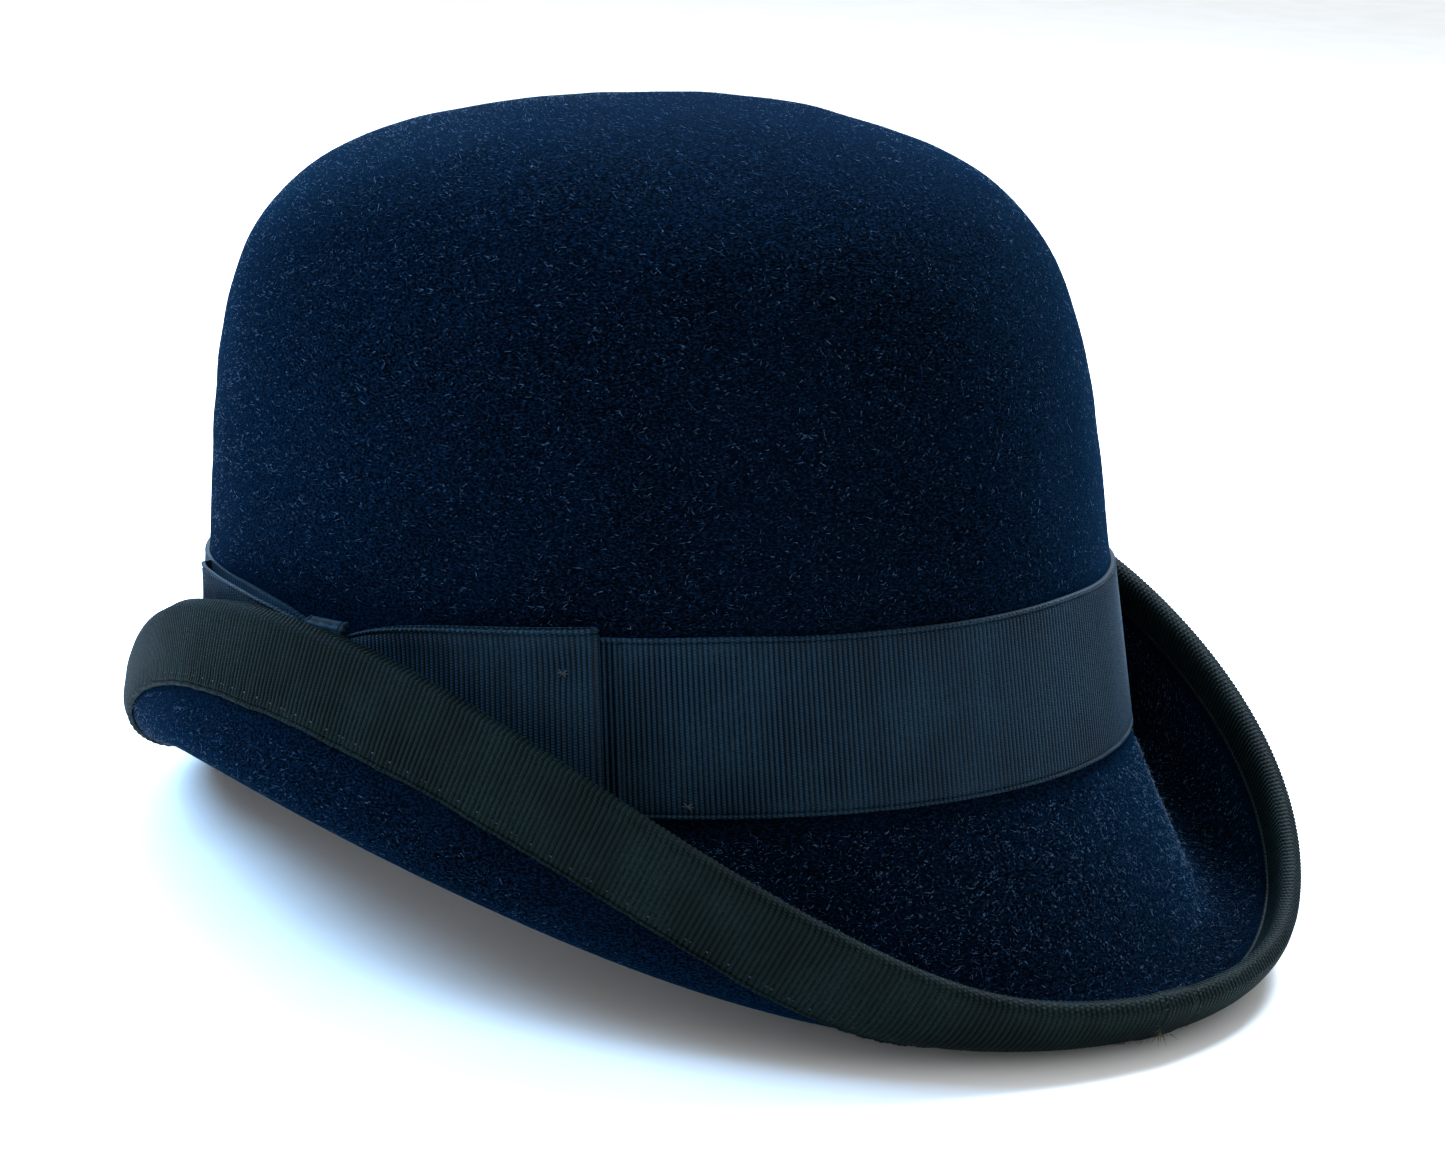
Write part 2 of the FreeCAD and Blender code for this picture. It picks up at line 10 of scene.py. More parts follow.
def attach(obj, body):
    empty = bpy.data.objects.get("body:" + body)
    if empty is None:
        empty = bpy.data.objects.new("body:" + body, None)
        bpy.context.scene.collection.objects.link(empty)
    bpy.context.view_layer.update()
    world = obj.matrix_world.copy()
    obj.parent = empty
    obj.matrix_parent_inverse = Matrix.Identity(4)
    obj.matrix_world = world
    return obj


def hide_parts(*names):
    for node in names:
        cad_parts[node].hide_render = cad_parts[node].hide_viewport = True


# A bowler hat: blocked velour felt, grosgrain hat band and flat bow, grosgrain bound
# brim, leather sweatband and satin lining.
# Pieces are laid out in millimetres in the hatter's frame: the line where the brim
# breaks from the crown is level at z = 0, +X is the wearer's left, -Y the front.
# stand() then tips them into the place that the record's head opening gives, in metres.

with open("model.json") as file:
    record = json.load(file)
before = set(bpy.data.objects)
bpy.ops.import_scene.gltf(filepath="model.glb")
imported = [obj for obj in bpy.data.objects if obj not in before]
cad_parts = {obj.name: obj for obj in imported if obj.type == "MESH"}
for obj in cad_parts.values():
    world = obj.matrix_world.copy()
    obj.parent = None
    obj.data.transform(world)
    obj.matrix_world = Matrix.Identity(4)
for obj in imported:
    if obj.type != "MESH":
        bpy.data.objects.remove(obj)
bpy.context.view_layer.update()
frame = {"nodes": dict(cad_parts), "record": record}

MM = 0.001
TURN = 2 * math.pi
chance = np.random.default_rng(59)

opening = next(m for m in frame["record"]["mounts"] if m["name"] == "head_opening")
TIP = math.atan2(opening["axis"][1], -opening["axis"][2])
BREAK = np.array(opening["pos_m"])

# ------------------------------------------------------------------ sizes, millimetres
# Crown: half its length and half its width at the break, and its height. It narrows upwards by
# the taper, its middle moves forward by the lean, and four powers shape its two profiles.
CROWN_LONG, CROWN_WIDE, CROWN_TALL = 104.5, 92.4, 131.5
CROWN_TAPER, CROWN_LEAN = 0.13, -0.04
FULL_LONG, FULL_WIDE = 8.9, 6.2
ROUND_LONG, ROUND_WIDE = 1.79, 2.36
FELT = 2.6

# Brim: each size round it is a mean, then how it changes with 2, 1, 3 and 4 turns. The reach is
# out to the curl's arc and the low is its lowest point, both from the break. The edge is the
# height of the wall's top, and the lean is the wall's, in degrees.
BRIM_REACH = (21.5, 8.2, 6.8, 0.0, 3.2)
BRIM_LOW = (-15.4, -14.9, -12.3, 2.6, 0.6)
BRIM_EDGE = (4.3, -32.5, -11.8, 1.0, -2.8)
CURL_RADIUS = (7.8, 2.3, 0.0, 0.0, 0.0)
CURL_LEAN = (92.0, -12.4, -15.4, -3.8, 0.0)
WALL_BLEND = 5.0
# The edge is trimmed lower round the front half, from one angle off the rear to another.
TRIM = 3.4
TRIM_FROM, TRIM_TO = math.radians(68.0), math.radians(128.0)

# Grosgrain: thickness, the gap that it keeps from what it lies on, its ribs and the share of the
# thickness lost between them, the twisted cord in each edge, and the warp ends across the ribs.
TAPE, GAP = 0.9, 0.12
RIB, RIB_DIP = 1.05, 0.34
CORD, TWIST_PITCH = 0.9, 1.15
WARP_PITCH = 0.55

# Hat band, its lapped end and the bow over it. IN is a layer's back and OUT its face, both off
# the crown. The wings' lengths run from the bow's middle to the rear and to the front, and the
# bow's reach is the angle each side of it in which the ribbons under it end.
BAND_LOW, BAND_WIDE = 1.0, 34.5
BAND_TOP = BAND_LOW + BAND_WIDE
BAND_OUT = GAP + TAPE
LAP_IN = BAND_OUT + GAP
LAP_PAST = 3.0
WING_IN = LAP_IN + TAPE + GAP
WING_LOOP = 2.6
WING_OUT = WING_IN + WING_LOOP
BOW_ANGLE, BOW_REACH = math.radians(91.0), 1.6
REAR_WING, FRONT_WING = 60.0, 50.0
# The knot draws the ribbons' top edges down, and the bow's weight tucks the band in a little:
# each by how much at the middle, and over what length.
KNOT_DRAW, KNOT_DRAW_LONG = 5.6, 12.0
BAND_TUCK, BAND_TUCK_LONG = 0.8, 25.0
# A wing: its lower edge's lift, its upper edge's rise at the end, how far the knot pinches it up
# and how far from the knot its gathers run, then how its upper edge flares off the band.
WING_LIFT, WING_RISE, WING_PINCH, GATHER = 1.2, 2.4, 3.0, 26.0
WING_FLARE, FLARE_DEEP = 1.5, 2.6
WING_SQUEEZE = 0.6
# The knot: its width, the radius it turns over the bow's edges, and how far it reaches past them.
KNOT_WIDE, KNOT_CORNER = 11.0, 1.4
KNOT_UNDER, KNOT_OVER = 0.4, 2.2
KNOT_PLEAT, KNOT_WAIST = 0.55, 0.12
TACK_FROM_END, TACK_BELOW, TACK_DENT = 7.0, 6.5, 0.8

# Binding: its ease over the felt, its width outside and inside the curl and round the fold, its
# ribs, which are coarser than the band's, and the lap where its ends meet.
BIND_EASE = 0.3
BIND_OUTSIDE, BIND_INSIDE = 18.6, 7.0
FOLD_LONG = math.pi * (FELT / 2 + BIND_EASE)
BIND_WIDE = BIND_OUTSIDE + FOLD_LONG + BIND_INSIDE
BIND_RIB = 1.16
LAP_ANGLE, LAP_LONG, LAP_TURNED = math.radians(5.0), 9.0, 1.5
LAP_PRESSED = 0.35
# Stitches: how far in from the selvage, length, pitch, how far they draw the cloth in, and thread.
STITCH_INSET, STITCH_LONG, STITCH_PITCH = 2.5, 2.2, 4.4
STITCH_SUNK, STITCH_DIP = 0.42, 0.6
THREAD, BIND_THREAD, TACK_THREAD = 0.5, 0.34, 0.4

# Inside: sweatband, then the lining, which hangs loose of the felt, and the cord in its seam.
SWEAT_LOW, SWEAT_WIDE, LEATHER = 2.5, 40.0, 1.1
LEATHER_IN = -(FELT + 2 * GAP + 0.5)
LINING_LOW, LINING_SEAM = 36.5, 98.5
LINING_OFF = FELT + 1.6
SATIN = 0.5
PIPING, PIPING_LAY = 1.1, 3.4


# ------------------------------------------------------------------ the hat's surfaces
def stand(points):
    """Millimetres in the hatter's frame to metres where the hat stands."""
    x, y, z = np.moveaxis(np.asarray(points) * MM, -1, 0)
    level, rise = math.cos(TIP), math.sin(TIP)
    return np.stack([x, y * level - z * rise, y * rise + z * level], -1) + BREAK


def wave(angle, size):
    """A size that changes round the hat; angle 0 is the rear end, half a turn is the front."""
    mean, twice, once, thrice, four = size
    return (mean + twice * np.cos(2 * angle) + once * np.cos(angle)
            + thrice * np.cos(3 * angle) + four * np.cos(4 * angle))


def crown_share(level, full, rounding, inset):
    """Share of the base's half length or width that is left at a level."""
    share = np.clip(level / (CROWN_TALL - inset), 0.0, 1.0)
    dome = np.maximum(1.0 - share ** full, 0.0) ** (1.0 / rounding)
    return dome * (1 + CROWN_TAPER * (1 - share)) / (1 + CROWN_TAPER)


def on_crown(angle, level, out=0.0):
    """Point of the crown's oval at a level, moved outward by a distance."""
    angle, level, out = np.broadcast_arrays(angle, level, out)
    inset = np.maximum(-out, 0.0)
    long = CROWN_LONG * crown_share(level, FULL_LONG, ROUND_LONG, inset) + out
    wide = CROWN_WIDE * crown_share(level, FULL_WIDE, ROUND_WIDE, inset) + out
    rearward = long * np.cos(angle) + CROWN_LEAN * level
    return np.stack([wide * np.sin(angle), rearward, level + 0.0], -1)


def outward(angle):
    """Level unit vector square to the crown's base line."""
    way = np.stack([np.sin(angle) / CROWN_WIDE, np.cos(angle) / CROWN_LONG, 0 * angle], -1)
    return way / np.linalg.norm(way, axis=-1, keepdims=True)


def turn_from(angle, middle):
    """How far angles are from a middle one, the shorter way round."""
    return np.abs((angle - middle + math.pi) % TURN - math.pi)


class Brim:
    """The brim's section at each angle: a sloping flat, the curl's arc, then its wall."""

    def __init__(self, angle):
        self.angle = angle
        self.radius = wave(angle, CURL_RADIUS)
        self.lean = np.radians(wave(angle, CURL_LEAN))
        self.mid_r = wave(angle, BRIM_REACH) - self.radius
        self.mid_z = wave(angle, BRIM_LOW) + self.radius
        away = np.hypot(self.mid_r, self.mid_z)
        under = np.arcsin(np.minimum(self.radius / away, 1))
        self.slope = np.arctan2(self.mid_z, self.mid_r) - under
        self.flat = np.sqrt(np.maximum(away ** 2 - self.radius ** 2, 0))
        self.arc = self.radius * (self.lean - self.slope)
        rise = wave(angle, BRIM_EDGE) - self.mid_z + self.radius * np.cos(self.lean)
        rise = rise / np.sin(self.lean)
        self.trim = TRIM * ease(turn_from(angle, 0.0), TRIM_FROM, TRIM_TO)
        self.wall = (rise + np.hypot(rise, WALL_BLEND)) / 2
        self.length = self.flat + self.arc + self.wall - self.trim

    def place(self, run, depth):
        """Point a run along the top of the brim from the break, and a depth below it."""
        past = np.clip(run - self.flat, 0, self.arc)
        turn = self.slope + past / self.radius
        on_flat = run <= self.flat
        r = np.where(on_flat, run * np.cos(turn), self.mid_r + self.radius * np.sin(turn))
        z = np.where(on_flat, run * np.sin(turn), self.mid_z - self.radius * np.cos(turn))
        beyond = np.maximum(run - self.flat - self.arc, 0)
        r = r + beyond * np.cos(turn) + depth * np.sin(turn)
        z = z + beyond * np.sin(turn) - depth * np.cos(turn)
        level = np.stack([0 * z, 0 * z, z], -1)
        return on_crown(self.angle, 0.0) + outward(self.angle) * r[..., None] + level

    def outside(self, distance, lift):
        """Point on the curl's outside, a distance back from the edge and a lift off the felt."""
        shrink = self.radius / (self.radius + FELT)
        wall = self.wall - self.trim
        run = np.where(distance <= wall, distance, wall + (distance - wall) * shrink)
        return self.place(self.length - run, FELT + lift)

    def inside(self, distance, lift):
        """Point on the curl's inside, a distance back from the edge and a lift off the felt."""
        return self.place(self.length - distance, -lift)

    def fold(self, turn, radius):
        """Point of the round fold over the edge: a quarter turn is the outside, minus it the
        inside."""
        middle = self.place(self.length, FELT / 2)
        side, rise = np.sin(self.lean)[..., None], np.cos(self.lean)[..., None]
        up = np.array([0.0, 0.0, 1.0])
        along = outward(self.angle) * rise + up * side
        under = outward(self.angle) * side - up * rise
        radius = np.asarray(radius)[..., None]
        turn = np.asarray(turn)[..., None]
        return middle + along * (radius * np.cos(turn)) + under * (radius * np.sin(turn))


def even_angles(line, count, first=0.0, last=TURN):
    """Angles that divide a line round the hat into equal lengths, and the line's length."""
    fine = np.linspace(first, last, 6001)
    steps = np.linalg.norm(np.diff(line(fine), axis=0), axis=1)
    run = np.concatenate([[0.0], np.cumsum(steps)])
    return np.interp(np.linspace(0, run[-1], count), run, fine), run[-1]


def angles_from_bow(distances):
    """Angles at distances from the bow's middle along the band's top; positive goes forward."""
    fine = np.linspace(BOW_ANGLE - BOW_REACH, BOW_ANGLE + BOW_REACH, 4001)
    steps = np.linalg.norm(np.diff(on_crown(fine, BAND_TOP), axis=0), axis=1)
    run = np.concatenate([[0.0], np.cumsum(steps)])
    run = run - np.interp(BOW_ANGLE, fine, run)
    return np.interp(distances, run, fine)


def away_from_bow(angle):
    """Distances from the bow's middle along the band's top, up to a wing's length each way."""
    reach = np.linspace(-REAR_WING, REAR_WING, 241)
    return np.interp(angle, angles_from_bow(reach), reach)


def drawn_in(away):
    """How far the knot draws a ribbon's top edge down, at a distance from the bow's middle."""
    return KNOT_DRAW * np.exp(-(np.abs(away) / KNOT_DRAW_LONG) ** 1.3)


def band_dip(away):
    """How far the band's top edge lies below its level near the bow."""
    return drawn_in(away) + BAND_TUCK * np.exp(-(away / BAND_TUCK_LONG) ** 2)


def on_ring(angle, radius):
    """Points on a level circle, where drift takes its values for things that go round the hat."""
    return np.stack([radius * np.cos(angle), radius * np.sin(angle), 0 * angle], -1)


def drift(points, size, seed):
    """Smooth chance values from about -1 to 1 over space, with swells of a size in millimetres."""
    own = np.random.default_rng(seed)
    waves = 14
    ways = own.normal(size=(waves, 3))
    ways = ways / np.linalg.norm(ways, axis=1, keepdims=True) * own.uniform(0.6, 1.5, (waves, 1))
    shifts = own.uniform(0, TURN, waves)
    return np.sin(np.asarray(points) @ ways.T * (TURN / size) + shifts).sum(-1) / 4.0


def ease(value, low, high):
    """Share of the way from low to high, smooth at both ends."""
    share = np.clip((value - low) / (high - low), 0, 1)
    return share * share * (3 - 2 * share)


# ------------------------------------------------------------------ meshes and pieces
def facing_out(points, faces):
    """Turns the faces round if they enclose a negative volume."""
    volume = 0.0
    for group in faces:
        a, b = points[group[:, 0]], points[group[:, 1]]
        for third in range(2, group.shape[1]):
            c = points[group[:, third]]
            volume += np.einsum("ij,ij->i", a, np.cross(b, c)).sum()
            b = c
    return faces if volume >= 0 else [group[:, ::-1] for group in faces]


def mesh_of(name, points, faces, weave=None, crease=60.0):
    """Smooth mesh in the hat's place. Points are millimetres; weave is run and across per point."""
    points = stand(points)
    faces = facing_out(points, faces)
    mesh = bpy.data.meshes.new(name)
    mesh.from_pydata(points.tolist(), [], [face for group in faces for face in group.tolist()])
    mesh.shade_smooth()
    mesh.set_sharp_from_angle(angle=math.radians(crease))
    if weave is not None:
        corners = np.concatenate([group.ravel() for group in faces])
        layer = mesh.uv_layers.new(name="weave")
        layer.uv.foreach_set("vector", weave[corners].astype(np.float32).ravel())
    return mesh


def grid_mesh(name, rows, run, across, ring=True, tube=True, crowned=False, crease=60.0):
    """Mesh through rows of points. ring closes each row on itself, tube closes the rows on the
    first one, and crowned closes the first and last rows on their middles. A closed ring keeps
    its run true at the seam, because the seam's column is laid twice and then merged."""
    rows = np.asarray(rows, float)
    if ring:
        rows = np.concatenate([rows, rows[:, :1]], axis=1)
    count, columns = rows.shape[:2]
    index = np.arange(count * columns).reshape(count, columns)
    if tube:
        index = np.concatenate([index, index[:1]])
    corners = [index[:-1, :-1], index[:-1, 1:], index[1:, 1:], index[1:, :-1]]
    faces = [np.stack(corners, -1).reshape(-1, 4)]
    points = rows.reshape(-1, 3)
    weave = np.stack(np.broadcast_arrays(np.asarray(run)[None, :], np.asarray(across)[:, None]), -1)
    weave = weave.reshape(-1, 2)
    if tube and not ring:
        faces.append(index[:-1, 0][None, ::-1])
        faces.append(index[:-1, -1][None, :])
    if crowned:
        for end, first in ((0, True), (count - 1, False)):
            middle = len(points)
            points = np.concatenate([points, rows[end, :-1].mean(0)[None]])
            weave = np.concatenate([weave, [[0.0, across[end]]]])
            tips = np.full(columns - 1, middle)
            sides = [index[end, 1:], index[end, :-1]]
            faces.append(np.stack((sides if first else sides[::-1]) + [tips], -1))
    mesh = mesh_of(name, points, faces, weave, crease)
    if ring:
        merge_seam(mesh)
    return mesh


def merge_seam(mesh):
    """Joins the two copies of the seam's column, so that the mesh is whole."""
    work = bmesh.new()
    work.from_mesh(mesh)
    bmesh.ops.remove_doubles(work, verts=work.verts, dist=1e-7)
    work.to_mesh(mesh)
    work.free()


def piece_of(mesh, finish, slot, *nodes):
    """A piece of the hat in its finish; nodes are the solids that it takes the place of."""
    piece = bpy.data.objects.new(mesh.name, mesh)
    bpy.context.scene.collection.objects.link(piece)
    mesh.materials.append(finish)
    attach(piece, "root")
    if nodes:
        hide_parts(*nodes)
    return piece


def spikes(name, roots, ways, sizes, bend=None):
    """Fine tapered hairs, each a three-sided spike. roots and ways are (N, 3), and sizes are
    (N, length and width)."""
    slanting = [0.31, 0.17, 0.93]
    ways = ways / np.linalg.norm(ways, axis=1, keepdims=True)
    side = np.cross(ways, slanting)
    side = side / np.linalg.norm(side, axis=1, keepdims=True)
    third = np.cross(ways, side)
    length, width = sizes[:, :1], sizes[:, 1:] / 2
    corners = [roots + width * (side * math.cos(t) + third * math.sin(t))
               for t in (0, TURN / 3, 2 * TURN / 3)]
    tips = roots + ways * length
    if bend is not None:
        tips = tips + bend * length
    points = np.stack(corners + [tips], 1).reshape(-1, 3)
    base = (np.arange(len(roots)) * 4)[:, None]
    faces = [base + np.array(f) for f in ((0, 1, 3), (1, 2, 3), (2, 0, 3), (2, 1, 0))]
    return mesh_of(name, points, faces, crease=180.0)


# ------------------------------------------------------------------ finishes
def paint(code):
    """Linear colour of an sRGB hex value."""
    parts = [int(code[i:i + 2], 16) / 255 for i in (1, 3, 5)]
    linear = [c / 12.92 if c <= 0.04045 else ((c + 0.055) / 1.055) ** 2.4 for c in parts]
    return (*linear, 1.0)


def add(tree, kind, settings=(), links=()):
    """Adds a node; settings are its own properties, links are its inputs by name or number,
    each a value or another node's output."""
    node = tree.nodes.new(kind)
    for key, value in settings:
        setattr(node, key, value)
    for key, value in links:
        if isinstance(value, bpy.types.NodeSocket):
            tree.links.new(value, node.inputs[key])
        else:
            node.inputs[key].default_value = value
    return node


def finish_of(name, rough, sheen=0.0, sheen_tint="#ffffff", sheen_rough=0.4, lustre=0.5, ior=1.5):
    """A new finish: its node tree and its shader, which takes its colour and bump later."""
    finish = bpy.data.materials.new(name)
    finish.use_nodes = True
    tree = finish.node_tree
    tree.nodes.clear()
    shader = add(tree, "ShaderNodeBsdfPrincipled", links=(
        ("Roughness", rough), ("IOR", ior), ("Specular IOR Level", lustre),
        ("Sheen Weight", sheen), ("Sheen Roughness", sheen_rough),
        ("Sheen Tint", paint(sheen_tint))))
    add(tree, "ShaderNodeOutputMaterial", links=(("Surface", shader.outputs["BSDF"]),))
    return finish, tree, shader


def calc(tree, operation, *values):
    """Sum, product or other working of values and nodes' outputs."""
    return add(tree, "ShaderNodeMath", (("operation", operation),), enumerate(values)).outputs[0]


def span(tree, value, low, high, first=0.0, last=1.0):
    """A value's share between two limits, eased, sent to another range."""
    return add(tree, "ShaderNodeMapRange", (("interpolation_type", "SMOOTHSTEP"),),
               (("Value", value), ("From Min", low), ("From Max", high),
                ("To Min", first), ("To Max", last))).outputs[0]


def blend(tree, share, first, second, mode="MIX"):
    """Colour between two, each an sRGB hex value or another node's output."""
    sides = [paint(c) if isinstance(c, str) else c for c in (first, second)]
    return add(tree, "ShaderNodeMix", (("data_type", "RGBA"), ("blend_type", mode)),
               ((0, share), (6, sides[0]), (7, sides[1]))).outputs[2]


def grain(tree, size, detail=2.0, rough=0.5, kind="FBM", where=None, distort=0.0):
    """Chance pattern with spots of a size in millimetres, in the hat's own space."""
    place = add(tree, "ShaderNodeTexCoord").outputs["Object"] if where is None else where
    scale = (1.0 if where is not None else 1000.0) / size
    return add(tree, "ShaderNodeTexNoise", (("noise_type", kind),),
               (("Vector", place), ("Scale", scale), ("Detail", detail), ("Roughness", rough),
                ("Distortion", distort))).outputs[0]


def relief(tree, shader, height, depth, strength=1.0):
    """Bump of a depth in millimetres."""
    bump = add(tree, "ShaderNodeBump", links=(
        ("Strength", strength), ("Distance", depth * MM), ("Height", height)))
    tree.links.new(bump.outputs[0], shader.inputs["Normal"])


def velour_felt():
    """Velour felt: rabbit fur felt, sanded and brushed to a short nap. The nap swallows light
    straight on and glows at grazing angles; single light fibres show as fine flecks. Real fibres
    are a fiftieth of a millimetre thick and are drawn coarser so that they show."""
    mottle, tuft, fibre_size = 26.0, 0.75, 0.8
    finish, tree, shader = finish_of("velour_felt", rough=0.95, sheen=0.07, sheen_tint="#0094e0",
                                     sheen_rough=0.32, lustre=0.5, ior=1.03)
    clouds = span(tree, grain(tree, mottle, 3.0), 0.35, 0.65)
    place = add(tree, "ShaderNodeTexCoord").outputs["Object"]
    flat_lying = (1 / MM, 1 / MM, 2 / MM)
    lying = add(tree, "ShaderNodeMapping", links=((0, place), (3, flat_lying))).outputs[0]
    nap = span(tree, grain(tree, tuft, 4.0, 0.75, where=lying), 0.46, 0.64)
    fibre = grain(tree, fibre_size, 5.0, 0.8, "RIDGED_MULTIFRACTAL", distort=0.8)
    fleck = span(tree, fibre, 0.75, 1.1)
    deep = blend(tree, clouds, "#010205", "#01040b")
    brushed = blend(tree, nap, deep, "#081627")
    flecked = calc(tree, "MULTIPLY", fleck, 0.45)
    tree.links.new(blend(tree, flecked, brushed, "#1c3c55"), shader.inputs["Base Color"])
    height = calc(tree, "ADD", calc(tree, "MULTIPLY", nap, 0.7), calc(tree, "MULTIPLY", fleck, 0.5))
    relief(tree, shader, height, 0.14, 0.9)
    return finish


def nap_fibre():
    """Stray guard hairs of the felt's fur: paler and glossier than the dyed nap."""
    finish, tree, shader = finish_of("fur_fibre", rough=0.5, lustre=0.2)
    shade = span(tree, grain(tree, 1.2, 2.0), 0.42, 0.62)
    tree.links.new(blend(tree, shade, "#0a1c2e", "#6e92b4"), shader.inputs["Base Color"])
    return finish


def grosgrain(name, valley_shade, thread, tint, sheen, lustre, worn):
    """Grosgrain: rayon warp over a thick cotton weft, in round ribs that are beaded where the warp
    ends cross them. The colour holds painted shade: the rib tops keep the thread's colour and it
    falls to near-black between the ribs and between the beads. Real warp ends are about 0.2 mm
    apart and are drawn wider so that they show."""
    lint, wear = 0.5, 14.0
    finish, tree, shader = finish_of(name, 0.55, sheen, tint, 0.4, lustre, ior=1.3)
    weave = add(tree, "ShaderNodeSeparateXYZ", links=(
        (0, add(tree, "ShaderNodeUVMap", (("uv_map", "weave"),)).outputs[0]),))
    along = calc(tree, "DIVIDE", weave.outputs[0], RIB)
    ridge = calc(tree, "ABSOLUTE", calc(tree, "SINE", calc(tree, "MULTIPLY", along, math.pi)))
    number = calc(tree, "FLOOR", along)
    step = calc(tree, "MULTIPLY", calc(tree, "MODULO", number, 2.0), math.pi)
    crossing = calc(tree, "MULTIPLY", weave.outputs[1], TURN / WARP_PITCH)
    bead = calc(tree, "SINE", calc(tree, "ADD", crossing, step))
    bead = span(tree, bead, -1.0, 1.0)
    slub = add(tree, "ShaderNodeTexWhiteNoise", (("noise_dimensions", "1D"),),
               (("W", number),)).outputs[0]
    fuzz = span(tree, grain(tree, lint, 3.0, 0.6), 0.3, 0.75)
    patch = span(tree, grain(tree, wear, 3.0), 0.35, 0.7)
    # Painted shade: the colour falls from the thread's colour on the rib tops to near-black between
    # the ribs and between the beads. The slub is each rib's own uneven tone.
    top = span(tree, ridge, 0.25, 1.0)
    light = calc(tree, "MULTIPLY", top, calc(tree, "ADD", calc(tree, "MULTIPLY", bead, 0.7), 0.35))
    uneven = calc(tree, "ADD", calc(tree, "MULTIPLY", slub, 0.4), 0.75)
    light = calc(tree, "MULTIPLY", light, uneven)
    dyed = blend(tree, light, valley_shade, thread)
    rubbed = calc(tree, "MULTIPLY", calc(tree, "MULTIPLY", patch, fuzz), 0.35)
    faded = blend(tree, rubbed, dyed, worn)
    tree.links.new(faded, shader.inputs["Base Color"])
    fuzzed = calc(tree, "MULTIPLY", fuzz, 0.3)
    height = calc(tree, "ADD", calc(tree, "MULTIPLY", light, 0.8), fuzzed)
    relief(tree, shader, height, 0.16, 0.8)
    return finish


def sewing_thread(name="waxed_thread", low="#05070a", high="#10161d"):
    """Waxed cotton thread: dull, with the twist of its strands drawn as a fine two-tone grain and
    bump.
    """
    finish, tree, shader = finish_of(name, 0.55, 0.2, "#8aa0b5")
    strand = 0.25
    twist = grain(tree, strand, 1.0)
    shade = blend(tree, span(tree, twist, 0.35, 0.65), low, high)
    tree.links.new(shade, shader.inputs["Base Color"])
    relief(tree, shader, twist, 0.06)
    return finish


def sweat_leather():
    """Vegetable tanned sheep leather: rolled smooth, so the fine pebble grain is shallow and
    satin, darker in the creases and where it is handled."""
    pebble_size, pore, stain_size = 0.9, 0.3, 18.0
    finish, tree, shader = finish_of("sweat_leather", 0.42, lustre=0.5)
    place = add(tree, "ShaderNodeTexCoord").outputs["Object"]
    cells = add(tree, "ShaderNodeTexVoronoi", (("feature", "DISTANCE_TO_EDGE"),),
                (("Vector", place), ("Scale", 1000 / pebble_size))).outputs["Distance"]
    pebble = span(tree, cells, 0.0, 0.25)
    stain = span(tree, grain(tree, stain_size, 4.0), 0.3, 0.7)
    tone = blend(tree, stain, "#5a3a22", "#7c5533")
    tree.links.new(blend(tree, pebble, "#3d2615", tone), shader.inputs["Base Color"])
    relief(tree, shader, calc(tree, "ADD", pebble, grain(tree, pore, 3.0)), 0.08, 0.7)
    return finish


def lining_satin():
    """Rayon satin: long floats lie side by side, so it is smooth and its shine runs in soft
    bars."""
    float_wide, float_long = 0.3, 3.0
    finish, tree, shader = finish_of("lining_satin", 0.28, 0.3, "#c9ced8", lustre=0.7)
    weave = add(tree, "ShaderNodeUVMap", (("uv_map", "weave"),)).outputs[0]
    drawn = (1 / float_wide, 1 / float_long, 1.0)
    floats = add(tree, "ShaderNodeMapping", links=((0, weave), (3, drawn))).outputs[0]
    lines = add(tree, "ShaderNodeTexNoise", links=(
        ("Vector", floats), ("Scale", 1.0), ("Detail", 2.0))).outputs[0]
    shade = span(tree, lines, 0.3, 0.7)
    tree.links.new(blend(tree, shade, "#6c727e", "#878d99"), shader.inputs["Base Color"])
    relief(tree, shader, lines, 0.05, 0.6)
    return finish


def plain_finish(name, low, high, size, rough, depth):
    """Small hidden parts: a two-tone grain of a size and a bump of a depth in millimetres."""
    finish, tree, shader = finish_of(name, rough)
    tone = grain(tree, size, 3.0)
    shade = blend(tree, span(tree, tone, 0.35, 0.65), low, high)
    tree.links.new(shade, shader.inputs["Base Color"])
    relief(tree, shader, tone, depth)
    return finish


# ------------------------------------------------------------------ felt
CROWN_ROWS, BRIM_ROWS, INNER_ROWS = 80, 50, 38
FELT_COLUMNS = 384
TOP_RADIUS, INNER_TOP_RADIUS = 1.5, 9.0
# Rows of the brim's top and underside that the binding covers, which need no nap.
BOUND_ROWS, BOUND_ROWS_UNDER = 10, 24
# The nap is brushed round the hat: the lean off that way and the hairs' curl are in radians.
BRUSHED, BRUSHED_SPREAD, HAIR_CURL, HAIR_SUNK = 0.2, 0.65, 0.18, 0.05


def crown_levels(count, depth=0.0):
    """Levels that divide the crown's profile evenly, up to a small cap at its top."""
    share = 1 - (1 - np.linspace(0, 1, 3000)) ** 4
    level = share * (CROWN_TALL - depth)
    profile = on_crown(TURN / 8, level, -depth)
    least = INNER_TOP_RADIUS if depth else TOP_RADIUS
    profile = profile[np.abs(profile[:, 0]) > least]
    run = np.concatenate([[0.0], np.cumsum(np.linalg.norm(np.diff(profile, axis=0), axis=1))])
    return np.interp(np.linspace(0, run[-1], count), run, profile[:, 2])


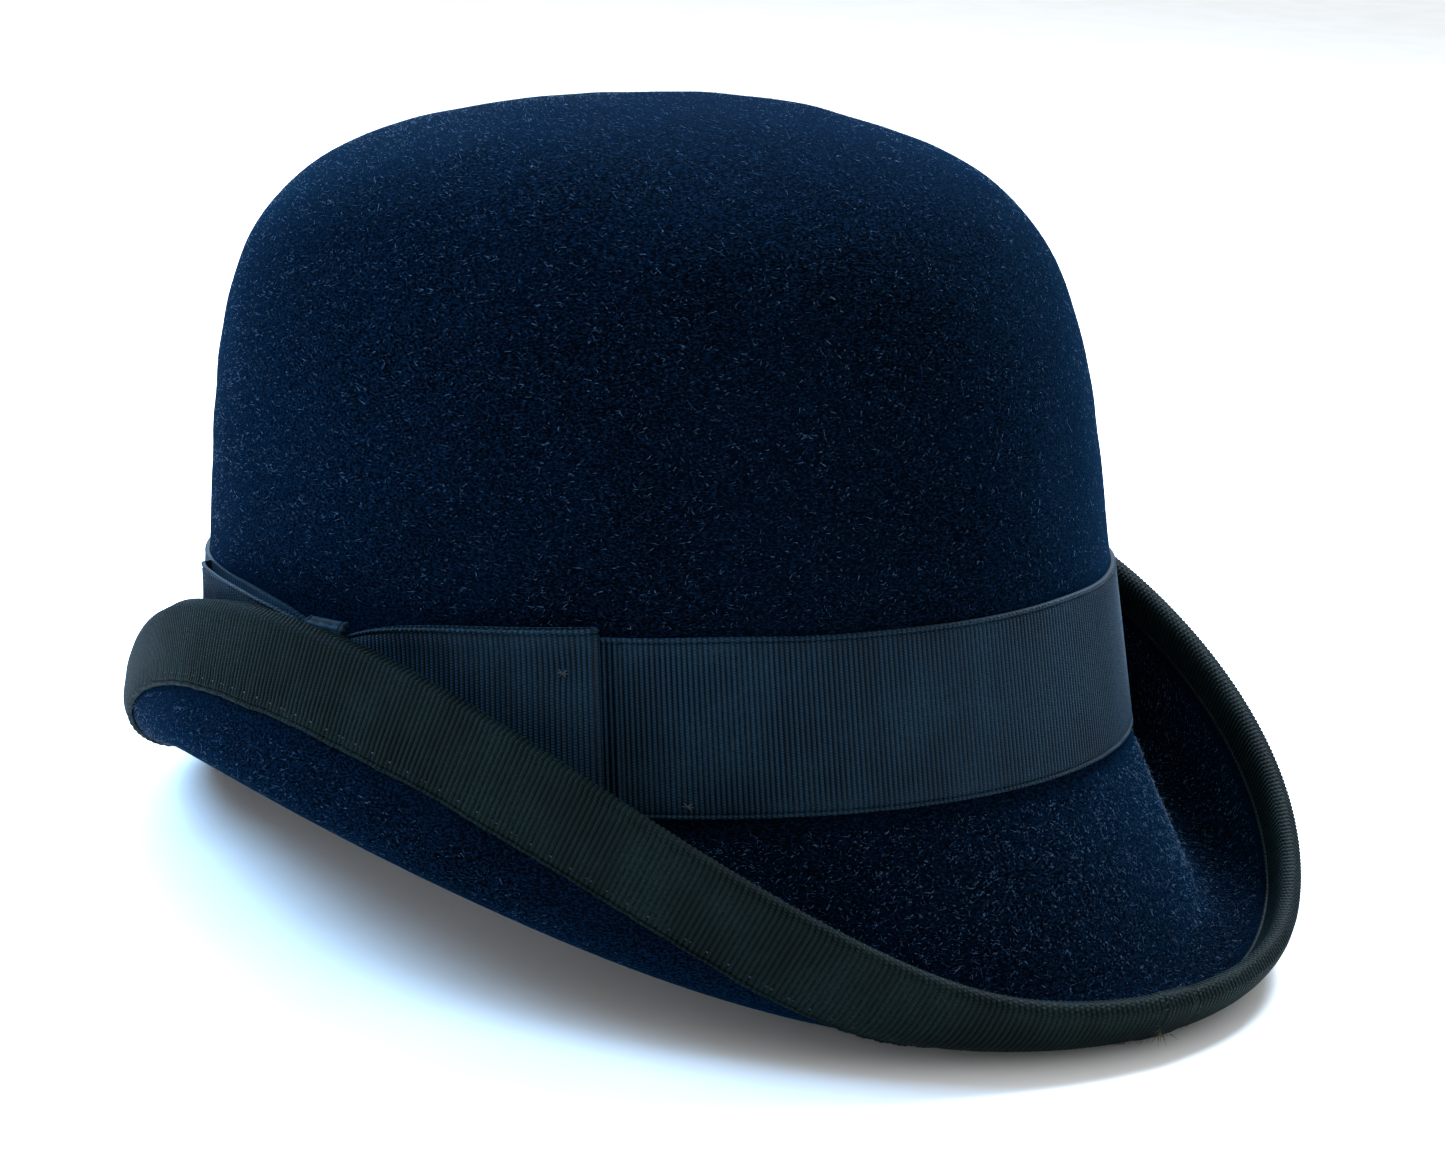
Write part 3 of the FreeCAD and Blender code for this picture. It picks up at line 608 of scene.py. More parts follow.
def felt_rows(angle):
    """The felt's skin from the crown's top, over the brim, round its edge and up the inside."""
    brim = Brim(angle)
    rows = [on_crown(angle, level) for level in crown_levels(CROWN_ROWS)[::-1]]
    rows += [brim.place(brim.length * k, 0.0) for k in np.linspace(0, 1, BRIM_ROWS)[1:]]
    rows += [brim.fold(math.radians(t), FELT / 2) for t in (-50, 0, 50)]
    rows += [brim.place(brim.length * k, FELT) for k in np.linspace(1, 0, BRIM_ROWS)]
    rows += [on_crown(angle, level, -FELT) for level in crown_levels(INNER_ROWS, FELT)]
    return np.array(rows)


def skin_normals(rows):
    """Unit vectors out of the felt, from the rows on either side."""
    along = np.roll(rows, -1, axis=1) - np.roll(rows, 1, axis=1)
    down = np.gradient(rows, axis=0)
    way = np.cross(down, along)
    way = way / np.maximum(np.linalg.norm(way, axis=-1, keepdims=True), 1e-9)
    return way if way[0, :, 2].mean() > 0 else -way


def felt_shell(finish):
    """Crown and brim of one felt. Blocking by hand leaves faint swells above the band."""
    angle = np.arange(FELT_COLUMNS) * TURN / FELT_COLUMNS
    rows = felt_rows(angle)
    normal = skin_normals(rows)
    crown = rows[:CROWN_ROWS]
    free = ease(crown[:, :, 2], BAND_TOP + 1.0, BAND_TOP + 14.0)
    broad, small = 0.35 * drift(crown, 58.0, 3), 0.12 * drift(crown, 17.0, 4)
    crown += normal[:CROWN_ROWS] * ((broad + small) * free)[..., None]
    run = np.arange(FELT_COLUMNS + 1) * (TURN * CROWN_LONG / FELT_COLUMNS)
    steps = np.linalg.norm(np.diff(rows[:, 0], axis=0), axis=1)
    across = np.concatenate([[0.0], np.cumsum(steps)])
    mesh = grid_mesh("felt_shell", rows, run, across, tube=False, crowned=True, crease=80.0)
    piece_of(mesh, finish, "velour_felt", "felt_body")
    return rows, normal


def nap_on(name, rows, normal, first, last, count, length, width, lift):
    """Short hairs brushed round a stretch of the felt's rows, some of them standing up by about
    a lift in degrees."""
    patch, ways = rows[first:last], normal[first:last]
    side = np.roll(patch, -1, axis=1) - patch
    down = np.diff(patch, axis=0)
    area = np.linalg.norm(np.cross(side[:-1], down), axis=-1)
    pick = chance.choice(area.size, count, p=(area / area.sum()).ravel())
    i, j = np.unravel_index(pick, area.shape)
    s, t = chance.random((2, count, 1))
    root = patch[i, j] + side[i, j] * s + down[i, j] * t
    up = ways[i, j]
    along = side[i, j] / np.linalg.norm(side[i, j], axis=1, keepdims=True)
    fall = np.cross(up, along)
    lean = chance.normal(BRUSHED, BRUSHED_SPREAD, (count, 1))
    rise = np.tan(np.radians(np.clip(chance.gamma(2.0, lift / 2.0, (count, 1)), 2, 75)))
    way = along * np.cos(lean) + fall * np.sin(lean) + up * rise
    lengths = chance.gamma(4.0, length / 4.0, (count, 1))
    sizes = np.concatenate([lengths, chance.uniform(0.7, 1.3, (count, 1)) * width], 1)
    curl = along * chance.normal(0, HAIR_CURL, (count, 1))
    curl = curl + fall * chance.normal(0, HAIR_CURL, (count, 1))
    return spikes(name, root - up * HAIR_SUNK, way, sizes, curl)


# ------------------------------------------------------------------ ribbon
def ribbon_steps(width, middle):
    """Distances across a ribbon: close together in its corded edges, then even over its face."""
    edge = np.array([0.0, 0.1, 0.28, 0.45, 0.62, 0.8, 0.92, 1.08, 1.4])
    face = np.linspace(edge[-1], width - edge[-1], middle + 2)[1:-1]
    return np.concatenate([edge, face, width - edge[::-1]])


def ribbon_height(run, across, width):
    """Thickness of the grosgrain: round ribs across it and a twisted cord along each edge."""
    edge = np.minimum(across, width - across)
    ribs = TAPE * (1 - RIB_DIP * (1 - np.abs(np.sin(math.pi * run / RIB))))
    half = CORD / 2
    cord = 0.45 + 0.55 * np.sqrt(np.clip(1 - ((edge - half) / half) ** 2, 0, 1))
    cord = TAPE * (cord + 0.10 * np.sin(TURN * (run / TWIST_PITCH + edge / CORD)))
    share = ease(edge, CORD, CORD + 0.4)
    return cord * (1 - share) + ribs * share


def ribbon_mesh(name, place, run, width, middle, ring=False, back=3):
    """Ribbon laid by place(across, height), which gives a row of points off the cloth's back."""
    face = ribbon_steps(width, middle)
    under = np.linspace(width, 0, back)
    columns = run[:-1] if ring else run
    rows = [place(v, ribbon_height(columns, v, width)) for v in face]
    rows += [place(v, 0 * columns) for v in under]
    across = np.concatenate([face, under])
    return grid_mesh(name, rows, run, across, ring=ring, crease=70.0)


def hat_band(finish):
    """Grosgrain ribbon drawn round the crown, its bottom edge just over the break."""
    def line(at):
        return on_crown(at, BAND_LOW + BAND_WIDE / 2, BAND_OUT)

    length = even_angles(line, 2)[1]
    ribs = round(length / RIB)
    angle = even_angles(line, ribs * 4 + 1)[0][:-1]
    run = np.arange(ribs * 4 + 1) * RIB / 4
    dip = band_dip(away_from_bow(angle))

    def place(across, height):
        pull = 0.22 * drift(on_ring(angle, 120) + [0, 0, across], 40.0, 8)
        level = BAND_LOW + across + (pull - dip) * (across / BAND_WIDE)
        return on_crown(angle, level, GAP + height)

    mesh = ribbon_mesh("ribbon_band", place, run, BAND_WIDE, 12, ring=True)
    band = piece_of(mesh, finish, "grosgrain", "hat_band")


def band_lap(finish):
    """Turned-in end of the band under the bow; its last pleats show just past the rear wing."""
    length = REAR_WING + LAP_PAST + FRONT_WING
    run = np.arange(0, length, RIB / 4)
    away = run - REAR_WING - LAP_PAST
    angle = angles_from_bow(away)
    dip = band_dip(away)
    # two creases close to the end, and the end itself turned under
    pleats = 0.45 * np.exp(-((run - 1.0) / 0.22) ** 2) + 0.5 * np.exp(-((run - 2.1) / 0.25) ** 2)
    turned = 0.5 * np.clip(1 - run / 0.6, 0, 1) ** 2

    def place(across, height):
        lift = np.maximum(height - (pleats + turned) * (height > 0), 0)
        return on_crown(angle, BAND_LOW + across - dip * across / BAND_WIDE, LAP_IN + lift)

    mesh = ribbon_mesh("ribbon_band_end", place, run, BAND_WIDE, 8)
    lap = piece_of(mesh, finish, "grosgrain", "band_lap")


def bow_wing(name, side, reach, finish, node):
    """One wing: ribbon taken out from the knot, folded back on itself and brought in again."""
    half = TAPE / 2
    top, low = WING_OUT - half, WING_IN + half
    bend = (top - low) / 2
    straight = reach - bend - half
    length = 2 * straight + math.pi * bend
    run = np.arange(0, length, RIB / 4)
    turn = np.clip((run - straight) / bend, 0, math.pi)
    back = np.maximum(run - straight - math.pi * bend, 0)
    x = np.minimum(run, straight) + bend * np.sin(turn) - back
    y = (top + low) / 2 + bend * np.cos(turn)
    out_x, out_y = np.sin(turn), np.cos(turn)
    gathered = 1 - np.sin(np.clip(x / GATHER, 0, 1) * math.pi / 2)
    wide = BAND_WIDE - WING_LIFT
    bottom = BAND_LOW + WING_LIFT + WING_PINCH * gathered
    ceiling = BAND_TOP + WING_RISE * (x / reach) ** 1.5 - drawn_in(x)
    outer = turn < 0.3

    def place(across, height):
        share = across / wide
        level = bottom + (ceiling - bottom) * share
        flare = WING_FLARE * math.exp(-(wide - across) / FLARE_DEEP) * outer * ease(x, 4.0, 22.0)
        flare = flare * (1 - 0.6 * ease(x, reach - 6.0, reach))
        tacked = np.hypot(x - reach + TACK_FROM_END, BAND_TOP - level - TACK_BELOW)
        dent = TACK_DENT * np.exp(-(tacked / 3.0) ** 2) * outer
        ripple = 0.25 * np.sin(share * 9.0 + 1.0) * gathered * outer
        squeeze = (y - WING_IN) * (1 - WING_SQUEEZE * gathered) + WING_IN
        lift = height - half
        angle = angles_from_bow(side * (x + out_x * lift))
        return on_crown(angle, level, squeeze + out_y * lift + flare - dent + ripple)

    mesh = ribbon_mesh(name, place, run, wide, 12, back=14)
    wing = piece_of(mesh, finish, "grosgrain", node)


def bow_knot(finish):
    """Narrow pleated ribbon wrapped over the middle of the bow and tucked behind its edges."""
    depth = WING_OUT - 0.45
    quarter = math.pi / 2
    face = BAND_WIDE + KNOT_OVER - KNOT_DRAW
    length = face + 2 * (quarter * KNOT_CORNER)
    run = np.arange(0, length, RIB / 4)
    first = quarter * KNOT_CORNER
    start = np.clip(run / KNOT_CORNER, 0, quarter)
    end = np.clip((run - first - face) / KNOT_CORNER, 0, quarter)
    along = np.clip(run - first, 0, face)
    turn = start - quarter + end
    turning = (run < first) | (run > first + face)
    z = BAND_LOW - KNOT_UNDER + along + KNOT_CORNER * (np.sin(turn)) * turning
    y = depth - KNOT_CORNER * (1 - np.cos(turn))

    def place(across, height):
        x = across - KNOT_WIDE / 2
        pleat = KNOT_PLEAT * abs(math.sin(3 * math.pi * across / KNOT_WIDE + 0.3)) * np.cos(turn)
        waist = 1 - KNOT_WAIST * np.sin(math.pi * along / face)
        angle = angles_from_bow(0 * run + x * waist)
        lift = height + pleat * (height > 0)
        return on_crown(angle, z + np.sin(turn) * lift, y + np.cos(turn) * lift)

    mesh = ribbon_mesh("bow_wrap", place, run, KNOT_WIDE, 18, back=4)
    knot = piece_of(mesh, finish, "grosgrain", "bow_knot")


# ------------------------------------------------------------------ binding
SQUARE_STOPS = 61


def round_edge(brim, across, lift):
    """Point across the binding, from its outside selvage over the edge to its inside one."""
    past = across - BIND_OUTSIDE + brim.trim
    turn = math.pi * (0.5 - np.clip(past / FOLD_LONG, 0, 1))
    outer = brim.outside(np.maximum(-past, 0), lift)
    fold = brim.fold(turn, FELT / 2 + lift)
    inner = brim.inside(np.maximum(past - FOLD_LONG, 0), lift)
    past = past[..., None]
    return np.where(past < 0, outer, np.where(past < FOLD_LONG, fold, inner))


def square_to_edge(angle):
    """Angles where ribs that start at these angles on the edge cross each line across the
    binding, so that every rib runs square to the edge. One row per line, from the outside
    selvage in."""
    stops = np.linspace(0, BIND_WIDE, SQUARE_STOPS)
    lines = np.zeros((SQUARE_STOPS, len(angle)))
    start = int(np.searchsorted(stops, BIND_OUTSIDE + FOLD_LONG / 2))
    lines[start] = angle
    small = 1e-4
    for way in (-1, 1):
        last = 0 if way < 0 else SQUARE_STOPS - 1
        for k in range(start, last, way):
            spot = round_edge(Brim(lines[k]), stops[k], BIND_EASE)
            along = (round_edge(Brim(lines[k] + small), stops[k], BIND_EASE) - spot) / small
            over = round_edge(Brim(lines[k]), stops[k + way], BIND_EASE) - spot
            lines[k + way] = lines[k] - (over * along).sum(-1) / (along * along).sum(-1)
    return lines


def line_across(lines, across):
    """Angles of the ribs on one line across the binding, between the two nearest stops."""
    spot = np.clip(across / BIND_WIDE, 0, 1) * (SQUARE_STOPS - 1)
    low = np.minimum(int(spot), SQUARE_STOPS - 2)
    return lines[low] * (low + 1 - spot) + lines[low + 1] * (spot - low)


def stitch_dips(run, across):
    """How far the stitching draws the binding in beside each selvage."""
    rows = (STITCH_INSET, BIND_WIDE - STITCH_INSET)
    near = max(math.exp(-((across - row) / STITCH_DIP) ** 2) for row in rows)
    return STITCH_SUNK * near * (0.5 + 0.5 * np.cos(math.pi * run / STITCH_PITCH) ** 2)


def binding_edge(count):
    """Even angles along the binding's fold, and its length."""
    def line(at):
        return Brim(at).fold(0.0, FELT / 2 + BIND_EASE + TAPE)

    return even_angles(line, count)


def edge_binding(finish):
    """Grosgrain steamed over the curl's edge: deep outside, shallow inside, its ribs square to
    the edge and its outer selvage a little puckered between the stitches."""
    length = binding_edge(2)[1]
    ribs = round(length / BIND_RIB)
    angle = binding_edge(ribs * 3 + 1)[0][:-1]
    run = np.arange(ribs * 3 + 1) * RIB / 3
    laid = run[:-1] * BIND_RIB / RIB
    lines = square_to_edge(angle)
    where = on_ring(angle, 120)
    wander = 0.10 * drift(where, 9.0, 21) + 0.12 * drift(where, 31.0, 22)

    def place(across, height):
        low = math.exp(-across / 2.5)
        pucker = 0.10 * np.sin(TURN * laid / STITCH_PITCH + 3 * wander) * low
        lift = BIND_EASE + np.maximum(height - stitch_dips(laid, across) * (height > 0), 0) + pucker
        return round_edge(Brim(line_across(lines, across)), across + wander * low, lift)

    mesh = ribbon_mesh("edge_binding", place, run, BIND_WIDE, 16, ring=True, back=16)
    binding = piece_of(mesh, finish, "binding_grosgrain", "brim_binding")


def thread_row(name, middles, ways, ups, long, thick, bow=0.0):
    """Stitches: short round threads, fullest in the middle, with their ends drawn into the
    cloth by a bow."""
    spots = np.linspace(-1, 1, 7)
    sides = 6
    turns = np.arange(sides) * TURN / sides
    ways = ways / np.linalg.norm(ways, axis=1, keepdims=True)
    ups = ups / np.linalg.norm(ups, axis=1, keepdims=True)
    side = np.cross(ways, ups)
    rings = []
    for spot in spots:
        radius = thick / 2 * math.sqrt(max(1 - spot * spot, 0.06))
        middle = middles + ways * (spot * long / 2) + ups * (bow * (1 - spot * spot) - bow)
        rings += [middle + (ups * math.cos(t) + side * math.sin(t)) * radius for t in turns]
    points = np.stack(rings, 1)
    count = points.shape[1]
    base = (np.arange(len(middles)) * count)[:, None]
    faces = []
    for first in range(0, count - sides, sides):
        for t in range(sides):
            after = (t + 1) % sides
            quad = (first + t, first + after, first + sides + after, first + sides + t)
            faces.append(base + np.array(quad))
    faces = [np.concatenate(faces)]
    faces.append(base + np.arange(sides - 1, -1, -1))
    faces.append(base + np.arange(count - sides, count))
    return mesh_of(name, points.reshape(-1, 3), faces, crease=180.0)


def spaced_stitches(line, off_line):
    """Middles, ways and outward directions of stitches at their pitch along a line."""
    length = even_angles(line, 2)[1]
    count = round(length / STITCH_PITCH)
    angle = even_angles(line, count + 1)[0][:-1]
    small = 0.002
    way = line(angle + small) - line(angle - small)
    return line(angle), way, off_line(angle) - line(angle)


def binding_thread(finish):
    """Two rows of thread through the binding, one beside each selvage, open at the lap."""
    sunk = BIND_EASE + TAPE - STITCH_SUNK
    length = binding_edge(2)[1]
    fold = binding_edge(round(length / STITCH_PITCH) + 1)[0][:-1]
    lines = square_to_edge(fold)
    small, open_at_lap = 0.002, 0.05
    parts = []
    for across in (STITCH_INSET, BIND_WIDE - STITCH_INSET):
        angle = line_across(lines, across)
        middles = round_edge(Brim(angle), across, sunk)
        ahead = round_edge(Brim(angle + small), across, sunk)
        ways = ahead - round_edge(Brim(angle - small), across, sunk)
        ups = round_edge(Brim(angle), across, sunk + 1.0) - middles
        away = turn_from(angle, LAP_ANGLE) > open_at_lap
        parts.append([x[away] for x in (middles, ways, ups)])
    middles, ways, ups = (np.concatenate(p) for p in zip(*parts))
    mesh = thread_row("edge_binding_thread", middles, ways, ups, STITCH_LONG, BIND_THREAD, 0.12)
    piece_of(mesh, finish, "thread", "brim_binding_stitching")


def binding_lap(finish, thread, straw):
    """Where the binding's two ends meet: the upper end lies over the lower, cut and fraying."""
    def line(at):
        return Brim(at).fold(0.0, FELT / 2 + 2 * (BIND_EASE + TAPE))

    small, columns, cut_end = 0.01, 27, 1.2
    per_turn = np.linalg.norm(line(np.array([small])) - line(np.array([0.0]))) / small
    half = LAP_LONG / 2 / per_turn
    angle, length = even_angles(line, columns, LAP_ANGLE - half, LAP_ANGLE + half)
    run = np.linspace(0, length, columns)
    brim = Brim(angle)
    lifted = BIND_EASE + TAPE - LAP_PRESSED
    ends = ease(run, 0, cut_end) * (1 - ease(run, length - cut_end, length))

    def place(across, height):
        return round_edge(brim, across, lifted + 0.65 * height * (0.45 + 0.55 * ends))

    mesh = ribbon_mesh("edge_binding_lap", place, run, BIND_WIDE, 16, back=16)
    lap = piece_of(mesh, finish, "binding_grosgrain", "binding_join")
    fray(thread, straw, half)


def fray(thread, straw, half):
    """Loose thread ends along the lap's cut edges, and one pale tuft low on its outside."""
    own = np.random.default_rng(12)
    roots, ways = [], []
    for side in (-1, 1):
        brim = Brim(np.array([LAP_ANGLE + side * half]))
        for across in own.uniform(3, BIND_WIDE - 1, 40):
            root = round_edge(brim, across, BIND_EASE + TAPE + 0.5)[0]
            out = round_edge(brim, across, BIND_EASE + TAPE + 1.5)[0] - root
            along = np.array([side * 1.0, 0, 0])
            roots.append(root)
            ways.append(along + out * own.uniform(0.0, 0.7) + own.normal(0, 0.35, 3))
    count = len(roots)
    sizes = np.stack([own.uniform(0.8, 2.6, count), own.uniform(0.08, 0.14, count)], 1)
    bend = own.normal(0, 0.2, (count, 3))
    mesh = spikes("edge_binding_fray", np.array(roots), np.array(ways), sizes, bend)
    piece_of(mesh, thread, "thread")

    brim = Brim(np.array([LAP_ANGLE + half * 0.6]))
    spot, count = BIND_OUTSIDE - 5.0, 14
    root = round_edge(brim, spot, BIND_EASE + 1.5 * TAPE)[0]
    down = round_edge(brim, spot, BIND_EASE + 1.5 * TAPE + 1.0)[0] - root
    ways = down * 0.9 + own.normal(0, 0.55, (count, 3))
    sizes = np.stack([own.uniform(1.2, 3.2, count), own.uniform(0.12, 0.2, count)], 1)
    spots = root + own.normal(0, 0.35, (count, 3))
    piece_of(spikes("edge_binding_tuft", spots, ways, sizes), straw, "thread")


def bow_tacks(finish):
    """Small crossed tacks of black thread: one holds the wing's end, one the band's lower edge."""
    on_wing = (REAR_WING - TACK_FROM_END, BAND_TOP - TACK_BELOW, WING_OUT - 0.75)
    on_band = (REAR_WING + 15.0, BAND_LOW + STITCH_INSET, BAND_OUT)
    middles, ways, ups = [], [], []
    for away, level, off in (on_wing, on_band):
        angle = angles_from_bow(np.array([-away]))
        along = np.cross(outward(angle)[0], [0, 0, 1])
        for layer, lean in enumerate((-0.7, 0.1, 0.8)):
            middles.append(on_crown(angle, level, off + 0.12 + 0.14 * layer)[0])
            ways.append(along * math.cos(lean) + np.array([0, 0, math.sin(lean)]))
            ups.append(outward(angle)[0])
    middles, ways, ups = np.array(middles), np.array(ways), np.array(ups)
    mesh = thread_row("bow_tack_thread", middles, ways, ups, 2.4, TACK_THREAD, 0.2)
    piece_of(mesh, finish, "thread", "band_tacks")


# ------------------------------------------------------------------ inside of the hat
def leather_band(finish, thread):
    """Leather sweatband: lower edge rolled over the reed, upper edge cut."""
    def line(at):
        return on_crown(at, SWEAT_LOW + SWEAT_WIDE / 2, LEATHER_IN)

    angle, length = even_angles(line, 481)
    run, angle = np.linspace(0, length, 481), angle[:-1]
    rolled = [0.0, 0.25, 0.7, 1.5, 2.2, 2.8, 3.6]
    steps = np.concatenate([rolled, np.linspace(5, SWEAT_WIDE - 1, 12),
                            [SWEAT_WIDE - 0.3, SWEAT_WIDE]])
    where = on_ring(angle, 110)
    slack = 0.5 * drift(where, 46.0, 31)

    def place(across, height):
        stitched = 0.25 * math.exp(-((across - STITCH_INSET) / STITCH_DIP) ** 2)
        loose = np.clip(slack * ease(across, 12, SWEAT_WIDE), 0, 1)
        loose = loose + 0.15 * drift(where + across, 9.0, 33) ** 2
        return on_crown(angle, SWEAT_LOW + across, LEATHER_IN - height + stitched - loose)

    face = [place(v, LEATHER * min(1.0, 0.45 + min(v, SWEAT_WIDE - v))) for v in steps]
    back = [place(v, 0.0) for v in steps[::-2]]
    across = np.concatenate([steps, steps[::-2]])
    mesh = grid_mesh("leather_band", face + back, run, across, crease=70.0)
    band = piece_of(mesh, finish, "sweat_leather", "sweatband")
    level, off = SWEAT_LOW + STITCH_INSET, LEATHER_IN - LEATHER + 0.15
    middles, ways, ups = spaced_stitches(lambda at: on_crown(at, level, off),
                                         lambda at: on_crown(at, level, off - 1.0))
    mesh = thread_row("leather_band_thread", middles, ways, ups, STITCH_LONG, THREAD, 0.2)
    piece_of(mesh, thread, "thread", "sweatband_stitching")


def leather_bow(finish):
    """Tiny flat bow sewn over the sweatband's rear seam: two loops and a knot."""
    level, depth = SWEAT_LOW + 18.0, LEATHER_IN - LEATHER - 0.5
    wide, reach, rise, swell = 2.4, 7.0, 2.0, 1.1
    run = np.linspace(0, TURN, 49)[:-1]
    x = reach * np.sin(run)
    lift = swell * np.abs(np.sin(run)) * (1 + np.cos(2 * run)) + 0.3
    z = rise * np.sin(2 * run)
    rows = [on_crown(x / CROWN_LONG, level + z * 0.6 + across * wide, depth - lift - thick)
            for across, thick in ((-0.5, 0.0), (0.5, 0.0), (0.5, 0.25), (-0.5, 0.25))]
    turned = [0.0, 2.4, 2.5, 4.9]
    mesh = grid_mesh("leather_band_bow", rows, np.linspace(0, 40, 49), turned, crease=40.0)
    piece_of(mesh, finish, "small_bow_ribbon", "sweatband_bow")

    half_wide, half_tall = 1.5, 1.6
    turn = np.linspace(0, TURN, 25)[:-1]
    wrap = []
    for z in np.linspace(-1, 1, 9):
        full = half_wide * math.sqrt(max(1 - z ** 4, 0.05))
        wrap.append(on_crown(full * np.cos(turn) / CROWN_LONG, level + z * half_tall,
                             depth - 1.2 + 0.75 * full * np.sin(turn)))
    mesh = grid_mesh("leather_band_knot", wrap, np.linspace(0, 8, 25), np.linspace(0, 4, 9),
                     tube=False, crowned=True)
    piece_of(mesh, finish, "small_bow_ribbon")


def satin_lining(finish, cord):
    """Satin lining: the side is gathered into the corded seam, the tip is cut to the oval."""
    def line(at):
        return on_crown(at, LINING_LOW + 20, -LINING_OFF)

    angle, length = even_angles(line, 961)
    run, angle = np.linspace(0, length, 961), angle[:-1]
    where = on_ring(angle, 100)
    gather_pitch = 5.2
    phase = run[:-1] / gather_pitch * TURN + 2.2 * drift(where, 33.0, 41)
    levels = np.linspace(LINING_LOW, LINING_SEAM, 30)

    def place(level, thick):
        share = (level - LINING_LOW) / (LINING_SEAM - LINING_LOW)
        free = ease(level, LINING_LOW + 6, LINING_LOW + 16)
        tuck = -LINING_OFF * free + -(FELT + GAP) * (1 - free)
        folds = (1 + np.sin(phase + 1.5 * share)) * 0.65 * free * (0.35 + 0.65 * share)
        slack = 0.5 * (1 + drift(where + level, 24.0, 43)) * math.sin(math.pi * share)
        return on_crown(angle, level, tuck - np.clip(folds + slack * free, 0, 4) - thick)

    face = [place(level, SATIN) for level in levels]
    back = [place(level, 0.0) for level in levels[::-3]]
    across = np.concatenate([levels, levels[::-3]])
    mesh = grid_mesh("satin_side", face + back, run, across, crease=70.0)
    side = piece_of(mesh, finish, "lining_satin", "lining_side")

    columns = 240
    angle = np.arange(columns) * TURN / columns

    def tip(inset, count):
        levels = crown_levels(90, inset)
        kept = levels[levels > LINING_SEAM + 0.3]
        kept = np.interp(np.linspace(0, 1, count), np.linspace(0, 1, len(kept)), kept)
        rows = [on_crown(angle, level, -inset) for level in kept]
        ripples = 0.35 * np.sin(angle * 46 + 2 * np.sin(angle * 7))
        for k, row in enumerate(rows):
            row[:, 2] -= np.abs(ripples) * math.exp(-k / 3.0)
        return rows

    rows = tip(LINING_OFF, 22) + tip(LINING_OFF + SATIN, 22)[::-1]
    run = np.linspace(0, 500, columns + 1)
    mesh = grid_mesh("satin_tip", rows, run, np.linspace(0, 160, len(rows)), crease=70.0)
    cap = piece_of(mesh, finish, "lining_satin", "lining_tip")
    piping(cord, -LINING_OFF - SATIN - GAP - PIPING)


def piping(finish, off):
    """Two-strand twisted cord over the seam between the lining's side and tip."""
    angle, length = even_angles(lambda at: on_crown(at, LINING_SEAM, off), 1201)
    run, angle = np.linspace(0, length, 1201), angle[:-1]
    twists = round(length / PIPING_LAY)
    rows = []
    for t in np.linspace(0, TURN, 13)[:-1]:
        swell = PIPING * (0.78 + 0.22 * np.abs(np.cos(t + math.pi * twists * run[:-1] / length)))
        rows.append(on_crown(angle, LINING_SEAM + swell * math.sin(t), off + swell * math.cos(t)))
    mesh = grid_mesh("satin_cord", rows, run, np.linspace(0, 7, 12), crease=180.0)
    piece_of(mesh, finish, "piping_cord", "lining_piping")


def finish_cad_parts(finishes):
    """The reed, its tape and the blank label keep their own solids and take their finishes."""
    for node, finish in finishes.items():
        solid = frame["nodes"][node]
        solid.data.materials.clear()
        solid.data.materials.append(finish)


# ------------------------------------------------------------------ studio
def studio():
    """Plain pale floor and sky light, with three cool softboxes: one high on the left of the
    view, one behind the crown for the nap's rim, and one high on the right for the brim."""
    world = bpy.data.worlds.new("studio")
    world.use_nodes = True
    bpy.context.scene.world = world
    sky = world.node_tree.nodes["Background"]
    sky.inputs["Color"].default_value = paint("#f4f6f8")
    sky.inputs["Strength"].default_value = 1.0
    bpy.context.scene.view_settings.view_transform = "Standard"

    half = 40.0
    floor = bpy.data.meshes.new("studio_floor")
    corners = [(-half, -half, 0), (half, -half, 0), (half, half, 0), (-half, half, 0)]
    floor.from_pydata(corners, [], [(0, 1, 2, 3)])
    ground = bpy.data.objects.new("studio_floor", floor)
    bpy.context.scene.collection.objects.link(ground)
    pale = plain_finish("studio_floor_paint", "#f6f6f4", "#fafaf9", 40.0, 0.9, 0.02)
    floor.materials.append(pale)

    middle = Vector(stand([0, 0, 60.0]))
    back, right, up = view_axes()
    softbox("cool_softbox", middle, -right * 0.75 + up * 0.75 + back * 0.15, 0.55, 22.0, "#9fd0ff")
    softbox("rim_softbox", middle, -right * 0.3 + up * 0.8 - back * 0.75, 0.6, 16.0, "#b4daff")
    softbox("brim_softbox", middle, right * 0.45 + up * 1.0 - back * 0.35, 0.5, 42.0, "#d6eaff")


def softbox(name, middle, way, size, power, tint):
    """Square lamp that faces the middle from a way off; size is metres and power watts."""
    lamp = bpy.data.lights.new(name, "AREA")
    lamp.shape = "SQUARE"
    lamp.size = size
    lamp.energy = power
    lamp.color = paint(tint)[:3]
    box = bpy.data.objects.new(name, lamp)
    bpy.context.scene.collection.objects.link(box)
    box.location = middle + way
    box.rotation_euler = way.to_track_quat("Z", "Y").to_euler()


# The camera in the hatter's frame: how far round from the front and how high it stands, its roll,
# its distance, where it aims off the break's middle, and its lens and sensor.
VIEW_TURN, VIEW_RISE = math.radians(131.816), math.radians(11.557)
VIEW_ROLL = math.radians(-0.396)
VIEW_AWAY, VIEW_SIDE, VIEW_LEVEL = 809.7, 13.43, 26.44
LENS, SENSOR = 93.85, 36.0


